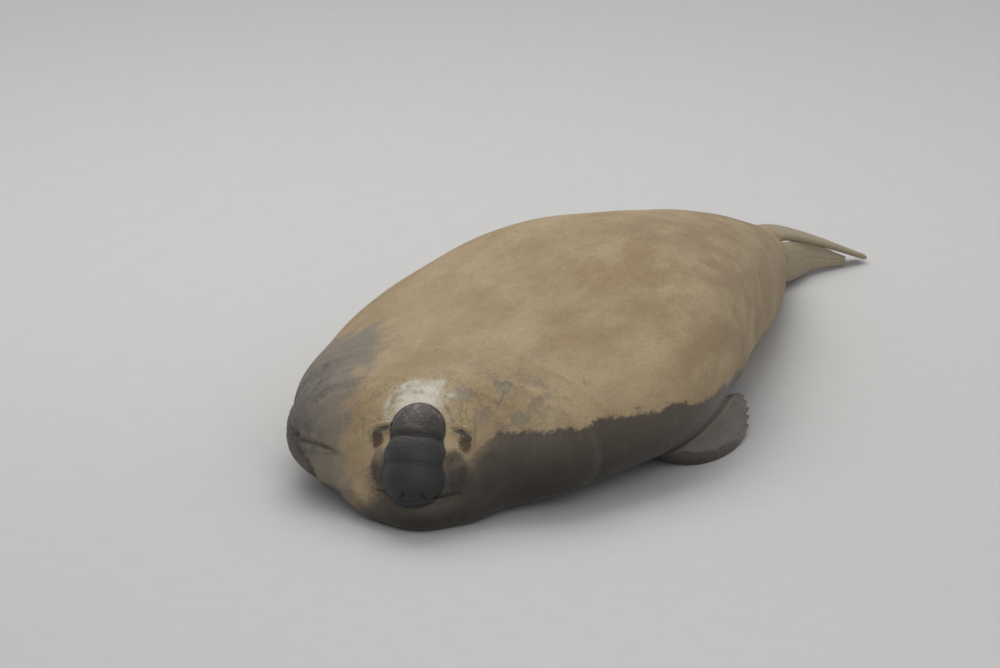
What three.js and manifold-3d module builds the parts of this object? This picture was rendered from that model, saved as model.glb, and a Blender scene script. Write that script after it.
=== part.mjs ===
// Southern elephant seal bull at rest: a life-size still figure, lying on its belly with the face
// low, the trunk-like nose over the mouth and both hind flippers trailing.
// Millimetres, +Z up, the floor at z = 0, the face toward -Y, the animal's left side toward +X.
import * as THREE from 'three';
import { mergeVertices } from 'three/addons/utils/BufferGeometryUtils.js';
import Module from 'manifold-3d';

const wasm = await Module();
wasm.setup();

// ---- Driving dimensions ------------------------------------------------------------------
const GAP = 0.3;                   // clearance between neighbouring solids
const DEG = Math.PI / 180;

// Spine in plan: arc length t runs from the throat to the rump.
const SPINE_END = 4300;
const SPINE_START = -600;
const NECK_TURN = 26.9 * DEG;      // heading of the throat, turned toward the left side
const NECK_TURN_FROM = -60;
const NECK_TURN_LENGTH = 1290;
const RUMP_TURN = 22.5 * DEG;      // heading of the rump, turned the other way
const RUMP_TURN_FROM = 2400;
const RUMP_TURN_LENGTH = 1700;
const STRAIGHT_AT = 2000;          // here the spine lies on x = 0

// Trunk sections: place along the spine, half width, top, underside before it flattens.
const SECTIONS = [
  [300, 420, 460, 30], [480, 575, 530, -20], [660, 690, 560, -20], [1020, 800, 600, -20],
  [1440, 830, 700, -20], [1920, 725, 775, -20], [2400, 540, 705, -20], [2880, 370, 580, -20],
  [3360, 230, 400, -15], [3720, 150, 260, 0], [3960, 90, 180, 30], [4100, 50, 140, 60],
];
const WIDEST = 0.42;               // share of the height where a section is widest
const ROUNDNESS = 2.25;            // exponent of the rounded section outline
const FRONT_AT = 620;              // the trunk starts to close toward the head here
const FRONT_DEPTH = 370;
const REAR_AT = 3960;              // and toward the tail here
const REAR_DEPTH = 160;

// Head frame: origin on the floor under the midpoint between the eyes.
const HEAD_X = 117;
const HEAD_Y = 276;
const HEAD_TURN = 23 * DEG;
const CORE_HEIGHT = 270;           // point inside the head from which its surface is measured
const LAST_SECTION = 4114;         // the rump has nearly closed here
const FIRST_SECTION = 320;         // the sections take over from the head's rays here
const JOIN_LENGTH = 500;           // and turn from the head's frame to the spine's over this length
const JOIN_AT = 300;               // place along the spine that lies at the head's core
const SECTION_SPREAD = 1.1;        // over 1, the sections are closer together toward the head
const SEARCH_FROM = -500;          // ends of the search for the place along the spine
const SEARCH_TO = 4280;

// Rounded masses of the head: centre forward, aside, up; radii forward, aside, up; pitch; yaw; blend.
const MASSES = {
  cranium: { at: [-100, 0, 255], size: [270, 225, 220], pitch: -6, yaw: 0, blend: 120 },
  throat: { at: [-40, 0, 100], size: [265, 330, 155], pitch: 0, yaw: 0, blend: 80 },
  muzzle: { at: [60, 0, 240], size: [165, 150, 170], pitch: 0, yaw: 0, blend: 50 },
  pad: { at: [125, 115, 235], size: [95, 75, 100], pitch: 0, yaw: -25, blend: 30 },
  chin: { at: [130, 0, 85], size: [130, 130, 85], pitch: 0, yaw: 0, blend: 50 },
  lid: { at: [42, 148, 368], size: [46, 50, 34], pitch: -30, yaw: -20, blend: 25 },
};
const NOSE_LOBES = [
  { at: [95, -8, 398], size: [120, 105, 85], pitch: -25, yaw: 0, blend: 16 },
  { at: [183, -10, 328], size: [105, 116, 82], pitch: -45, yaw: 0, blend: 12 },
  { at: [215, -12, 235], size: [115, 122, 100], pitch: -75, yaw: 0, blend: 12 },
];
const NOSE_BLEND = 15;             // the nose keeps a crisp crease where it meets the face

// Details of the face, in the head frame.
const EYE_AT = [48, 148, 375];
const EYE_RADIUS = 30;
const SLIT = { at: [66, 157, 391], half: 46, high: 5, deep: 34, pitch: 38, yaw: 25 };
const EAR_AT = [-120, 205, 360];
const EAR_RADIUS = 9;
const MOUTH = { height: 168, lean: 3, rim: 14, thick: 7, reach: 340 };
const NOSTRIL = { at: [312, 36, 176], size: [26, 11, 20], pitch: -40, yaw: 12 };
const JAW = { from: 20, reach: 500, half: 200, top: 168 };
const NOSE_CUT = { at: [268, 0, 435], reach: 400, half: 138, tall: 620, lean: 30 };
const WHISKER = { rows: 3, perRow: 4, base: 2.8, long: 84, sides: 5, rooted: 0.88 };
const WHISKER_AIM = { lean: 0.62, back: 0.12, out: 0.11, rise: 0.12, drop: 0.30 };  // first hair, then per step

// Cuts across the trunk, as places along the spine, from the head to the tail.
const CUTS = [430, 900, 1500, 2250, 3050, 3640];
const TRUNK_NAMES = ['head', 'neck', 'chest', 'torso', 'loin', 'hips', 'tail'];

// Flippers: a path of centre points, the width direction at root and tip, half widths and
// half thicknesses at root, middle and tip, and the number of digits.
const FORE = {
  path: [[600, 1260, 150], [735, 1420, 105], [765, 1640, 88], [735, 1880, 84]],
  across: [[0.55, -0.05, -0.83], [0.45, 0.30, -0.84]],
  width: [95, 125, 116, 72], thick: [52, 46, 32, 18], digits: 5, notch: 11, ridge: 3, skew: 34,
};
const HIND_NEAR = {
  path: [[-60, 3420, 150], [-48, 3690, 112], [-35, 3890, 85], [58, 4075, 30]],
  across: [[0.30, 0.05, -0.95], [0.42, 0.10, -0.90]],
  width: [85, 75, 52, 18], thick: [60, 40, 22, 9], digits: 5, notch: 8, ridge: 1.5, skew: 0,
};
const HIND_FAR = {
  path: [[-195, 3560, 215], [-150, 3760, 215], [-75, 3960, 145], [86, 4188, 22]],
  across: [[0.90, -0.34, -0.20], [0.90, -0.38, 0]],
  width: [70, 74, 72, 44], thick: [46, 28, 20, 10], digits: 5, notch: 10, ridge: 1.5, skew: 0,
};
const CLAW = { radius: 7, long: 26, sides: 8, rings: 6 };

// Facet counts.
const AROUND = 40;
const HEAD_ROWS = 20;
const TRUNK_ROWS = 20;
const BLADE_ROWS = 9;
const BLADE_AROUND = 24;
const BALL_AROUND = 14;
const BALL_ROWS = 8;

const COLOURS = {
  coat: 0x9a8262, snout: 0x3b3937, jaw: 0x5c5247, limb: 0x5f564c, eye: 0x17130f, claw: 0x3a332c,
};

// ---- Small helpers -----------------------------------------------------------------------
const clamp = (v, lo, hi) => Math.min(Math.max(v, lo), hi);
const ease = (v) => { const c = clamp(v, 0, 1); return c * c * (3 - 2 * c); };
const mix = (a, b, s) => a + (b - a) * s;

// Smooth curve through evenly or unevenly spaced stations (cubic Hermite, centred slopes).
function through(xs, ys, x) {
  const last = xs.length - 1;
  const v = clamp(x, xs[0], xs[last]);
  let k = 0;
  while (k < last - 1 && v > xs[k + 1]) k += 1;
  const slope = (i) => {
    if (i === 0) return (ys[1] - ys[0]) / (xs[1] - xs[0]);
    if (i === last) return (ys[last] - ys[last - 1]) / (xs[last] - xs[last - 1]);
    const before = xs[i] - xs[i - 1];
    const after = xs[i + 1] - xs[i];
    return (before * before * (ys[i + 1] - ys[i]) + after * after * (ys[i] - ys[i - 1]))
      / (before * after * (before + after));
  };
  const h = xs[k + 1] - xs[k];
  const s = (v - xs[k]) / h;
  return (2 * s ** 3 - 3 * s ** 2 + 1) * ys[k] + (s ** 3 - 2 * s ** 2 + s) * h * slope(k)
    + (3 * s ** 2 - 2 * s ** 3) * ys[k + 1] + (s ** 3 - s ** 2) * h * slope(k + 1);
}

// ---- Spine -------------------------------------------------------------------------------
const SPINE_STEP = 10;
const heading = (t) => NECK_TURN * (1 - ease((t - NECK_TURN_FROM) / NECK_TURN_LENGTH))
  + RUMP_TURN * ease((t - RUMP_TURN_FROM) / RUMP_TURN_LENGTH);
const spineTable = [];
for (let t = SPINE_START, x = 0, y = 0; t <= SPINE_END; t += SPINE_STEP) {
  spineTable.push([x, y]);
  x -= Math.sin(heading(t + SPINE_STEP / 2)) * SPINE_STEP;
  y += Math.cos(heading(t + SPINE_STEP / 2)) * SPINE_STEP;
}
const tableAt = (t) => {
  const place = clamp((t - SPINE_START) / SPINE_STEP, 0, spineTable.length - 1.001);
  const i = Math.floor(place);
  return [0, 1].map((n) => mix(spineTable[i][n], spineTable[i + 1][n], place - i));
};
const shiftX = tableAt(STRAIGHT_AT)[0];
const shiftY = tableAt(0)[1];
const spineAt = (t) => { const [x, y] = tableAt(t); return [x - shiftX, y - shiftY]; };

const places = SECTIONS.map((s) => s[0]);
const column = (n) => SECTIONS.map((s) => s[n]);
const [HALF, TOP, UNDER] = [column(1), column(2), column(3)];

// ---- The body as a rounded volume: each function is negative inside, in millimetres --------
function trunkValue([px, py, pz]) {
  let t = py;
  for (let i = 0; i < 4; i += 1) {
    const [x, y] = spineAt(t);
    t = clamp(t - (px - x) * Math.sin(heading(t)) + (py - y) * Math.cos(heading(t)), SEARCH_FROM,
      SEARCH_TO);
  }
  const [x, y] = spineAt(t);
  const aside = (px - x) * Math.cos(heading(t)) + (py - y) * Math.sin(heading(t));
  const tc = clamp(t, FRONT_AT, REAR_AT);
  const half = through(places, HALF, tc);
  const top = through(places, TOP, tc);
  const under = through(places, UNDER, tc);
  const middle = mix(under, top, WIDEST);
  const reach = pz > middle ? top - middle : middle - under;
  const close = Math.max(0, (FRONT_AT - t) / FRONT_DEPTH) + Math.max(0, (t - REAR_AT) / REAR_DEPTH);
  const radius = (Math.abs(aside / half) ** ROUNDNESS + Math.abs((pz - middle) / reach) ** ROUNDNESS
    + close ** ROUNDNESS) ** (1 / ROUNDNESS);
  return (radius - 1) * Math.min(half, (top - under) / 2);
}
const FORWARD = [Math.sin(HEAD_TURN), -Math.cos(HEAD_TURN)];
const ASIDE = [Math.cos(HEAD_TURN), Math.sin(HEAD_TURN)];
const fromHead = ([f, a, z]) => [HEAD_X + f * FORWARD[0] + a * ASIDE[0],
  HEAD_Y + f * FORWARD[1] + a * ASIDE[1], z];
const toHead = ([x, y, z]) => [(x - HEAD_X) * FORWARD[0] + (y - HEAD_Y) * FORWARD[1],
  (x - HEAD_X) * ASIDE[0] + (y - HEAD_Y) * ASIDE[1], z];
function massValue([f, a, z], { at, size, pitch, yaw }) {
  const [cy, sy, cp, sp] = [Math.cos(yaw * DEG), Math.sin(yaw * DEG), Math.cos(pitch * DEG),
    Math.sin(pitch * DEG)];
  const f0 = (f - at[0]) * cy + (a - at[1]) * sy;
  const a0 = -(f - at[0]) * sy + (a - at[1]) * cy;
  const f1 = f0 * cp + (z - at[2]) * sp;
  const z1 = -f0 * sp + (z - at[2]) * cp;
  return (Math.hypot(f1 / size[0], a0 / size[1], z1 / size[2]) - 1) * Math.min(...size);
}
function blend(a, b, k) {
  const h = Math.max(k - Math.abs(a - b), 0) / k;
  return Math.min(a, b) - h * h * k * 0.25;
}
function bodyValue(p) {
  const head = toHead(p);
  const folded = [head[0], Math.abs(head[1]), head[2]];
  let value = trunkValue(p);
  for (const mass of Object.values(MASSES)) value = blend(value, massValue(folded, mass), mass.blend);
  let nose = massValue(head, NOSE_LOBES[0]);
  for (const lobe of NOSE_LOBES.slice(1)) nose = blend(nose, massValue(head, lobe), lobe.blend);
  return blend(value, nose, NOSE_BLEND);
}

// ---- Solids --------------------------------------------------------------------------------
const WELD = 1e-3;                 // points nearer than this are one
function solidOf(points, triangles) {
  let geometry = new THREE.BufferGeometry();
  geometry.setAttribute('position', new THREE.Float32BufferAttribute(points.flat(), 3));
  geometry.setIndex(triangles.flat());
  geometry = mergeVertices(geometry, WELD);
  return fromGeometry(geometry);
}
function fromGeometry(source) {
  let geometry = source.clone();
  for (const name of ['normal', 'uv']) geometry.deleteAttribute(name);
  geometry = mergeVertices(geometry, WELD);
  return new wasm.Manifold(new wasm.Mesh({
    numProp: 3,
    vertProperties: new Float32Array(geometry.attributes.position.array),
    triVerts: new Uint32Array(geometry.index.array),
  }));
}
const largest = (solid) => solid.decompose().sort((a, b) => b.volume() - a.volume())[0];

// Farthest point of the body along a ray from a point inside it, found by halving the interval.
const RAY_STEP = 16;
const RAY_LONG = 1100;
const HALVINGS = 14;
function surfaceAlong(origin, direction, grow) {
  const at = (r) => origin.map((v, n) => v + direction[n] * r);
  const inside = (r) => bodyValue(at(r)) < grow;
  let near = 0;
  for (let r = RAY_STEP; r < RAY_LONG; r += RAY_STEP) if (inside(r)) near = r;
  let far = near + RAY_STEP;
  for (let i = 0; i < HALVINGS; i += 1) {
    const middle = (near + far) / 2;
    if (inside(middle)) near = middle; else far = middle;
  }
  const p = at(near);
  return [p[0], p[1], Math.max(p[2], -grow)];
}

// The whole of the flesh as rings: cones of rays round the head's core, then sections of the trunk.
function bodySolid(grow) {
  const rings = [];
  for (let i = 1; i <= HEAD_ROWS; i += 1) {
    const open = (Math.PI / 2) * (i / HEAD_ROWS);
    rings.push((angle) => {
      const f = Math.cos(open);
      const a = Math.sin(open) * Math.cos(angle);
      return [fromHead([0, 0, CORE_HEIGHT]),
        [f * FORWARD[0] + a * ASIDE[0], f * FORWARD[1] + a * ASIDE[1], Math.sin(open) * Math.sin(angle)]];
    });
  }
  for (let i = 1; i < TRUNK_ROWS; i += 1) {
    const t = FIRST_SECTION + (LAST_SECTION - FIRST_SECTION) * (i / TRUNK_ROWS) ** SECTION_SPREAD;
    const w = ease((t - FIRST_SECTION) / JOIN_LENGTH);
    const [hx, hy] = fromHead([JOIN_AT - t, 0, 0]);
    const [sx, sy] = spineAt(t);
    const turn = mix(HEAD_TURN, heading(t), w);
    const middle = mix(through(places, UNDER, t), through(places, TOP, t), WIDEST);
    const origin = [mix(hx, sx, w), mix(hy, sy, w), mix(CORE_HEIGHT, middle, w)];
    rings.push((angle) => [origin,
      [Math.cos(angle) * Math.cos(turn), Math.cos(angle) * Math.sin(turn), Math.sin(angle)]]);
  }
  const points = [];
  const triangles = [];
  for (const ring of rings) {
    for (let j = 0; j < AROUND; j += 1) {
      points.push(surfaceAlong(...ring((2 * Math.PI * j) / AROUND), grow));
    }
  }
  const front = points.length;
  points.push(surfaceAlong(fromHead([0, 0, CORE_HEIGHT]), [...FORWARD, 0], grow));
  const rear = points.length;
  const back = points.slice(-1 - AROUND, -1);
  points.push([0, 1, 2].map((n) => back.reduce((sum, p) => sum + p[n], 0) / AROUND));
  const last = rings.length - 1;
  for (let j = 0; j < AROUND; j += 1) {
    const k = (j + 1) % AROUND;
    triangles.push([front, j, k], [rear, last * AROUND + k, last * AROUND + j]);
    for (let i = 0; i < last; i += 1) {
      const [a, b, c, d] = [i * AROUND + j, i * AROUND + k, (i + 1) * AROUND + k, (i + 1) * AROUND + j];
      triangles.push([a, d, c], [a, c, b]);
    }
  }
  return solidOf(points, triangles);
}

// A flattened limb: rings round a bent path, ridged over each digit and notched between them.
const vec = (list) => new THREE.Vector3(...list);
const EDGE_POWER = 0.8;            // under 1, the section is fuller than an oval
const OVERRUN = 300;               // how far a digit may run on past the end of the path
function bladePoint(shape, side, u, angle, grow, push) {
  const curve = new THREE.CatmullRomCurve3(shape.path.map(([x, y, z]) => vec([x * side, y, z])));
  const stops = shape.path.map((_, i) => i / (shape.path.length - 1));
  const wide = vec(shape.across[0]).lerp(vec(shape.across[1]), u);
  wide.x *= side;
  const v = Math.cos(angle);
  const rim = Math.sin(angle);
  const digit = -Math.cos(Math.PI * shape.digits * (v + 1));
  const reach = u - u * u * (shape.notch * (0.5 - 0.5 * digit) + shape.skew * v) / OVERRUN;
  const at = clamp(reach, 0, 1);
  const along = curve.getTangent(at);
  wide.addScaledVector(along, -wide.dot(along)).normalize();
  const out = new THREE.Vector3().crossVectors(along, wide).normalize();
  const half = through(stops, shape.width, u) + grow;
  const deep = through(stops, shape.thick, u) + shape.ridge * digit * u + grow;
  const point = curve.getPoint(at).addScaledVector(wide, v * half)
    .addScaledVector(out, Math.sign(rim) * Math.abs(rim) ** EDGE_POWER * deep)
    .addScaledVector(along, push + Math.max(0, reach - 1) * OVERRUN);
  return { point, along };
}
function bladeSolid(shape, side, grow) {
  const points = [];
  const triangles = [];
  for (let i = 0; i <= BLADE_ROWS; i += 1) {
    const push = (i === BLADE_ROWS ? grow : 0) - (i === 0 ? grow : 0);
    for (let j = 0; j < BLADE_AROUND; j += 1) {
      const { point } = bladePoint(shape, side, i / BLADE_ROWS, (2 * Math.PI * j) / BLADE_AROUND, grow, push);
      points.push([point.x, point.y, Math.max(point.z, -grow)]);
    }
  }
  const lastRing = BLADE_ROWS * BLADE_AROUND;
  const root = points.length;
  points.push([0, 1, 2].map((n) => points.slice(0, BLADE_AROUND)
    .reduce((sum, p) => sum + p[n], 0) / BLADE_AROUND));
  for (let j = 0; j < BLADE_AROUND; j += 1) {
    const k = (j + 1) % BLADE_AROUND;
    triangles.push([root, k, j]);
    for (let i = 0; i < BLADE_ROWS; i += 1) {
      const [a, b] = [i * BLADE_AROUND + j, i * BLADE_AROUND + k];
      triangles.push([a, b, b + BLADE_AROUND], [a, b + BLADE_AROUND, a + BLADE_AROUND]);
    }
  }
  // The tip closes as a strip between the upper and the lower edge of the last ring.
  for (let j = 0; j < BLADE_AROUND / 2; j += 1) {
    const [a, b] = [lastRing + j, lastRing + j + 1];
    const c = lastRing + ((BLADE_AROUND - j - 1) % BLADE_AROUND);
    const d = lastRing + ((BLADE_AROUND - j) % BLADE_AROUND);
    if (j > 0) triangles.push([a, b, d]);
    if (j < BLADE_AROUND / 2 - 1) triangles.push([b, c, d]);
  }
  let solid = solidOf(points, triangles);
  if (solid.volume() < 0) solid = solidOf(points, triangles.map((t) => [...t].reverse()));
  return solid;
}

// An ellipsoid, box or tapered spike placed in the head frame.
function placedInHead(geometry, at, pitch, yaw) {
  const turn = new THREE.Matrix4().makeBasis(vec([...FORWARD, 0]), vec([...ASIDE, 0]), vec([0, 0, 1]));
  const tilt = new THREE.Matrix4().makeRotationFromEuler(new THREE.Euler(0, -pitch * DEG, yaw * DEG, 'ZYX'));
  geometry.applyMatrix4(tilt);
  geometry.applyMatrix4(turn);
  geometry.translate(...fromHead(at));
  return fromGeometry(geometry);
}
const ellipsoid = (size, at, pitch = 0, yaw = 0) => placedInHead(
  new THREE.SphereGeometry(1, BALL_AROUND, BALL_ROWS).scale(...size), at, pitch, yaw);
const block = (size, at, pitch = 0, yaw = 0) => placedInHead(
  new THREE.BoxGeometry(...size), at, pitch, yaw);

// ---- Parting the body ----------------------------------------------------------------------
const SLAB = 4000;
const flesh = bodySolid(0);
const fleshGrown = bodySolid(GAP);
let parted = flesh;
for (const t of CUTS) {
  const [x, y] = spineAt(t);
  const slab = new THREE.BoxGeometry(SLAB, GAP, SLAB).rotateZ(heading(t)).translate(x, y, 0);
  parted = parted.subtract(fromGeometry(slab));
}
const midY = (solid) => { const { min, max } = solid.boundingBox(); return (min[1] + max[1]) / 2; };
const trunkParts = parted.decompose().sort((a, b) => midY(a) - midY(b));
const solids = new Map();
TRUNK_NAMES.forEach((name, i) => solids.set(name, trunkParts[i]));

// ---- Face ----------------------------------------------------------------------------------
const both = [[1, 'left'], [-1, 'right']];
const mirrored = ([f, a, z], side) => [f, a * side, z];
const lipPlane = ellipsoid([MOUTH.reach, MOUTH.reach, MOUTH.thick / 2], [0, 0, MOUTH.height], -MOUTH.lean);
let head = solids.get('head').subtract(lipPlane.subtract(bodySolid(-MOUTH.rim)));
for (const [side, name] of both) {
  const eye = mirrored(EYE_AT, side);
  const slitAt = mirrored(SLIT.at, side);
  head = head.subtract(ellipsoid([SLIT.deep, SLIT.half, SLIT.high], slitAt, SLIT.pitch, SLIT.yaw * side));
  head = head.subtract(ellipsoid(Array(3).fill(EYE_RADIUS + GAP), eye));
  head = head.subtract(ellipsoid(Array(3).fill(EAR_RADIUS), mirrored(EAR_AT, side)));
  head = head.subtract(ellipsoid(NOSTRIL.size, mirrored(NOSTRIL.at, side), NOSTRIL.pitch, NOSTRIL.yaw * side));
  solids.set(`eye_${name}`, ellipsoid(Array(3).fill(EYE_RADIUS), eye));
  // Short stiff whiskers in rows on the pad, rooted below its surface.
  for (let row = 0; row < WHISKER.rows; row += 1) {
    for (let n = 0; n < WHISKER.perRow; n += 1) {
      const lean = vec([WHISKER_AIM.lean - WHISKER_AIM.back * n,
        (WHISKER_AIM.lean + WHISKER_AIM.out * n) * side, WHISKER_AIM.rise - WHISKER_AIM.drop * row]).normalize();
      const root = MASSES.pad.at.map((v, i) => v * (i === 1 ? side : 1)
        + lean.getComponent(i) * MASSES.pad.size[i] * WHISKER.rooted);
      const spike = new THREE.ConeGeometry(WHISKER.base, WHISKER.long, WHISKER.sides)
        .translate(0, WHISKER.long / 2, 0);
      const aim = new THREE.Quaternion().setFromUnitVectors(vec([0, 1, 0]), lean);
      spike.applyQuaternion(aim);
      head = head.add(placedInHead(spike, root, 0, 0));
    }
  }
}
const jawBlock = (grow) => block([JAW.reach + grow, 2 * JAW.half + grow, 2 * JAW.top + grow],
  [JAW.from + JAW.reach / 2, 0, 0], 0);
const noseBlock = (grow) => block([NOSE_CUT.reach + grow, 2 * NOSE_CUT.half + grow, NOSE_CUT.tall + grow],
  NOSE_CUT.at, NOSE_CUT.lean);
solids.set('lower_jaw', largest(head.intersect(jawBlock(-GAP))));
head = head.subtract(jawBlock(GAP));
solids.set('proboscis', largest(head.intersect(noseBlock(-GAP))));
solids.set('head', largest(head.subtract(noseBlock(GAP))));

// ---- Flippers and claws --------------------------------------------------------------------
for (const [side, name] of both) {
  let flipper = bladeSolid(FORE, side, 0).subtract(fleshGrown);
  for (let k = 0; k < FORE.digits; k += 1) {
    const { point, along } = bladePoint(FORE, side, 1, Math.acos((2 * k + 1) / FORE.digits - 1), 0, 0);
    const aim = new THREE.Quaternion().setFromUnitVectors(vec([0, 1, 0]), along);
    const claw = (grow) => fromGeometry(new THREE.SphereGeometry(1, CLAW.sides, CLAW.rings)
      .scale(CLAW.radius + grow, CLAW.long + grow, CLAW.radius + grow).applyQuaternion(aim)
      .translate(point.x, point.y, Math.max(point.z, CLAW.radius * 2)));
    flipper = flipper.subtract(claw(GAP));
    solids.set(`claw_${name}_${k + 1}`, largest(claw(0).subtract(fleshGrown)));
  }
  solids.set(`flipper_fore_${name}`, largest(flipper));
}
const near = largest(bladeSolid(HIND_NEAR, 1, 0).subtract(fleshGrown));
const far = largest(bladeSolid(HIND_FAR, 1, 0).subtract(fleshGrown).subtract(bladeSolid(HIND_NEAR, 1, GAP)));
solids.set('flipper_hind_left', near);
solids.set('flipper_hind_right', far);

// ---- Scene graph ---------------------------------------------------------------------------
const bounds = new THREE.Box3();
for (const solid of solids.values()) {
  const { min, max } = solid.boundingBox();
  bounds.expandByPoint(vec(min)).expandByPoint(vec(max));
}
const shift = bounds.getCenter(new THREE.Vector3()).negate().setZ(-bounds.min.z);
const colourOf = (name) => {
  if (name.startsWith('eye')) return [COLOURS.eye, 0.15];
  if (name.startsWith('claw')) return [COLOURS.claw, 0.5];
  if (name.startsWith('flipper')) return [COLOURS.limb, 0.7];
  if (name === 'proboscis') return [COLOURS.snout, 0.6];
  if (name === 'lower_jaw') return [COLOURS.jaw, 0.7];
  return [COLOURS.coat, 0.8];
};
const seal = new THREE.Group();
for (const [name, solid] of solids) {
  const { vertProperties, triVerts } = solid.getMesh();
  const geometry = new THREE.BufferGeometry();
  geometry.setAttribute('position', new THREE.BufferAttribute(new Float32Array(vertProperties), 3));
  geometry.setIndex(new THREE.BufferAttribute(new Uint32Array(triVerts), 1));
  geometry.computeVertexNormals();
  const [color, roughness] = colourOf(name);
  const mesh = new THREE.Mesh(geometry, new THREE.MeshStandardMaterial({ color, roughness, metalness: 0 }));
  mesh.name = name;
  seal.add(mesh);
}
seal.position.copy(shift);

export default seal;
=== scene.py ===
import math

import bpy
import numpy as np
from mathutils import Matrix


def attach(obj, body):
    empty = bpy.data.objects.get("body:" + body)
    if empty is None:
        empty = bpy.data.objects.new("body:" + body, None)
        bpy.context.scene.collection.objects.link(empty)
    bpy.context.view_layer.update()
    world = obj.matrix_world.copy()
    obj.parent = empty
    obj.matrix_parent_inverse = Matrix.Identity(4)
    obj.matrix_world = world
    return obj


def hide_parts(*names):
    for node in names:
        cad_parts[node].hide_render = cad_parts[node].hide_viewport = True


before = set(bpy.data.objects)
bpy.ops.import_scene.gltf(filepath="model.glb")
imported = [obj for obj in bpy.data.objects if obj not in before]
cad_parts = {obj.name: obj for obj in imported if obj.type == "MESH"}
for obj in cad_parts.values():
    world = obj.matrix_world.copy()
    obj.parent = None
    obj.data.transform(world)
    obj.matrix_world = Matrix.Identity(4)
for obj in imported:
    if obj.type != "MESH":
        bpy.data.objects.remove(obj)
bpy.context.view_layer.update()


# The trunk. A bull elephant seal is a long sack of blubber, widest behind the chest, resting flat
# on its belly. Its sections are rounded, four-cornered ovals carried along a spine that turns toward
# the left side at the throat and the other way at the rump.
spine_from = -0.6
spine_to = 4.3
neck_turn = math.radians(26.9)
neck_turn_from = -0.06
neck_turn_length = 1.29
rump_turn = math.radians(22.5)
rump_turn_from = 2.4
rump_turn_length = 1.7
straight_at = 2.0
spine_step = 0.01
length_limits = (-0.5, 4.28)
axis_height = 0.20
frame_shift = np.array([0.0, -2.0862717, 0.0])

section_at = np.array([0.30, 0.48, 0.66, 1.02, 1.44, 1.92, 2.40, 2.88, 3.36, 3.72, 3.96, 4.10])
half_widths = np.array([0.42, 0.575, 0.69, 0.80, 0.83, 0.725, 0.54, 0.37, 0.23, 0.15, 0.09, 0.05])
top_heights = np.array([0.46, 0.53, 0.56, 0.60, 0.70, 0.775, 0.705, 0.58, 0.40, 0.26, 0.18, 0.14])
undersides = np.array([0.03, -0.02, -0.02, -0.02, -0.02, -0.02, -0.02, -0.02, -0.015, 0.0, 0.03, 0.06])
widest_share = 0.42
roundness = 2.25
front_at = 0.62
front_depth = 0.37
rear_at = 3.96
rear_depth = 0.16


def ease(value):
    """Smooth step from 0 to 1: three squares less two cubes of the value held between 0 and 1."""
    value = np.clip(value, 0.0, 1.0)
    return value * value * (3.0 - 2.0 * value)


def heading(along):
    """Angle of the spine in plan: the throat's turn fading out, plus the rump's turn fading in."""
    throat = neck_turn * (1.0 - ease((along - neck_turn_from) / neck_turn_length))
    return throat + rump_turn * ease((along - rump_turn_from) / rump_turn_length)


spine_steps = np.arange(spine_from, spine_to + spine_step / 2, spine_step)
middle_heading = heading(spine_steps[:-1] + spine_step / 2)
spine_x = np.concatenate([[0.0], np.cumsum(-np.sin(middle_heading) * spine_step)])
spine_y = np.concatenate([[0.0], np.cumsum(np.cos(middle_heading) * spine_step)])
spine_x = spine_x - np.interp(straight_at, spine_steps, spine_x)
spine_y = spine_y - np.interp(0.0, spine_steps, spine_y)


def spine_place(along):
    """Plan position of the spine at a length, read from the summed steps."""
    return np.interp(along, spine_steps, spine_x), np.interp(along, spine_steps, spine_y)


def cubic_weights(run):
    """Weights of a cubic curve: the first value, its slope, the next value and its slope."""
    return 2 * run**3 - 3 * run**2 + 1, run**3 - 2 * run**2 + run, 3 * run**2 - 2 * run**3, run**3 - run**2


def section_value(values, along):
    """Cubic curve through the section stations, with slopes from the stations on both sides."""
    slopes = np.gradient(values, section_at)
    held = np.clip(along, section_at[0], section_at[-1])
    low = np.clip(np.searchsorted(section_at, held) - 1, 0, len(section_at) - 2)
    gap = section_at[low + 1] - section_at[low]
    share = (held - section_at[low]) / gap
    from_low, leave, to_high, arrive = cubic_weights(share)
    rise = from_low * values[low] + to_high * values[low + 1]
    return rise + (leave * slopes[low] + arrive * slopes[low + 1]) * gap


def length_along(points):
    """Length along the spine that is level with each point, found in four steps."""
    along = points[..., 1].copy()
    for _ in range(4):
        place_x, place_y = spine_place(along)
        turn = heading(along)
        along = along - (points[..., 0] - place_x) * np.sin(turn) + (points[..., 1] - place_y) * np.cos(turn)
        along = np.clip(along, *length_limits)
    return along


def beside_spine(points, along):
    """Distance of points to the left of the spine, measured square to its heading."""
    place_x, place_y = spine_place(along)
    turn = heading(along)
    return (points[..., 0] - place_x) * np.cos(turn) + (points[..., 1] - place_y) * np.sin(turn)


def angle_round(points, along):
    """Angle of points round the trunk, from the left side up, about a line in the belly."""
    return np.arctan2(points[..., 2] - axis_height, beside_spine(points, along))


def trunk_depth(points):
    """Value of the trunk at points, negative inside: the oval's radius less one, in metres."""
    along = length_along(points)
    aside = beside_spine(points, along)
    held = np.clip(along, front_at, rear_at)
    half = section_value(half_widths, held)
    top = section_value(top_heights, held)
    under = section_value(undersides, held)
    middle = under + (top - under) * widest_share
    height = points[..., 2] - middle
    reach = np.where(height > 0, top - middle, middle - under)
    close = np.maximum(0, (front_at - along) / front_depth) + np.maximum(0, (along - rear_at) / rear_depth)
    radius = np.abs(aside / half)**roundness + np.abs(height / reach)**roundness + close**roundness
    return (radius**(1 / roundness) - 1.0) * np.minimum(half, (top - under) / 2)


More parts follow.
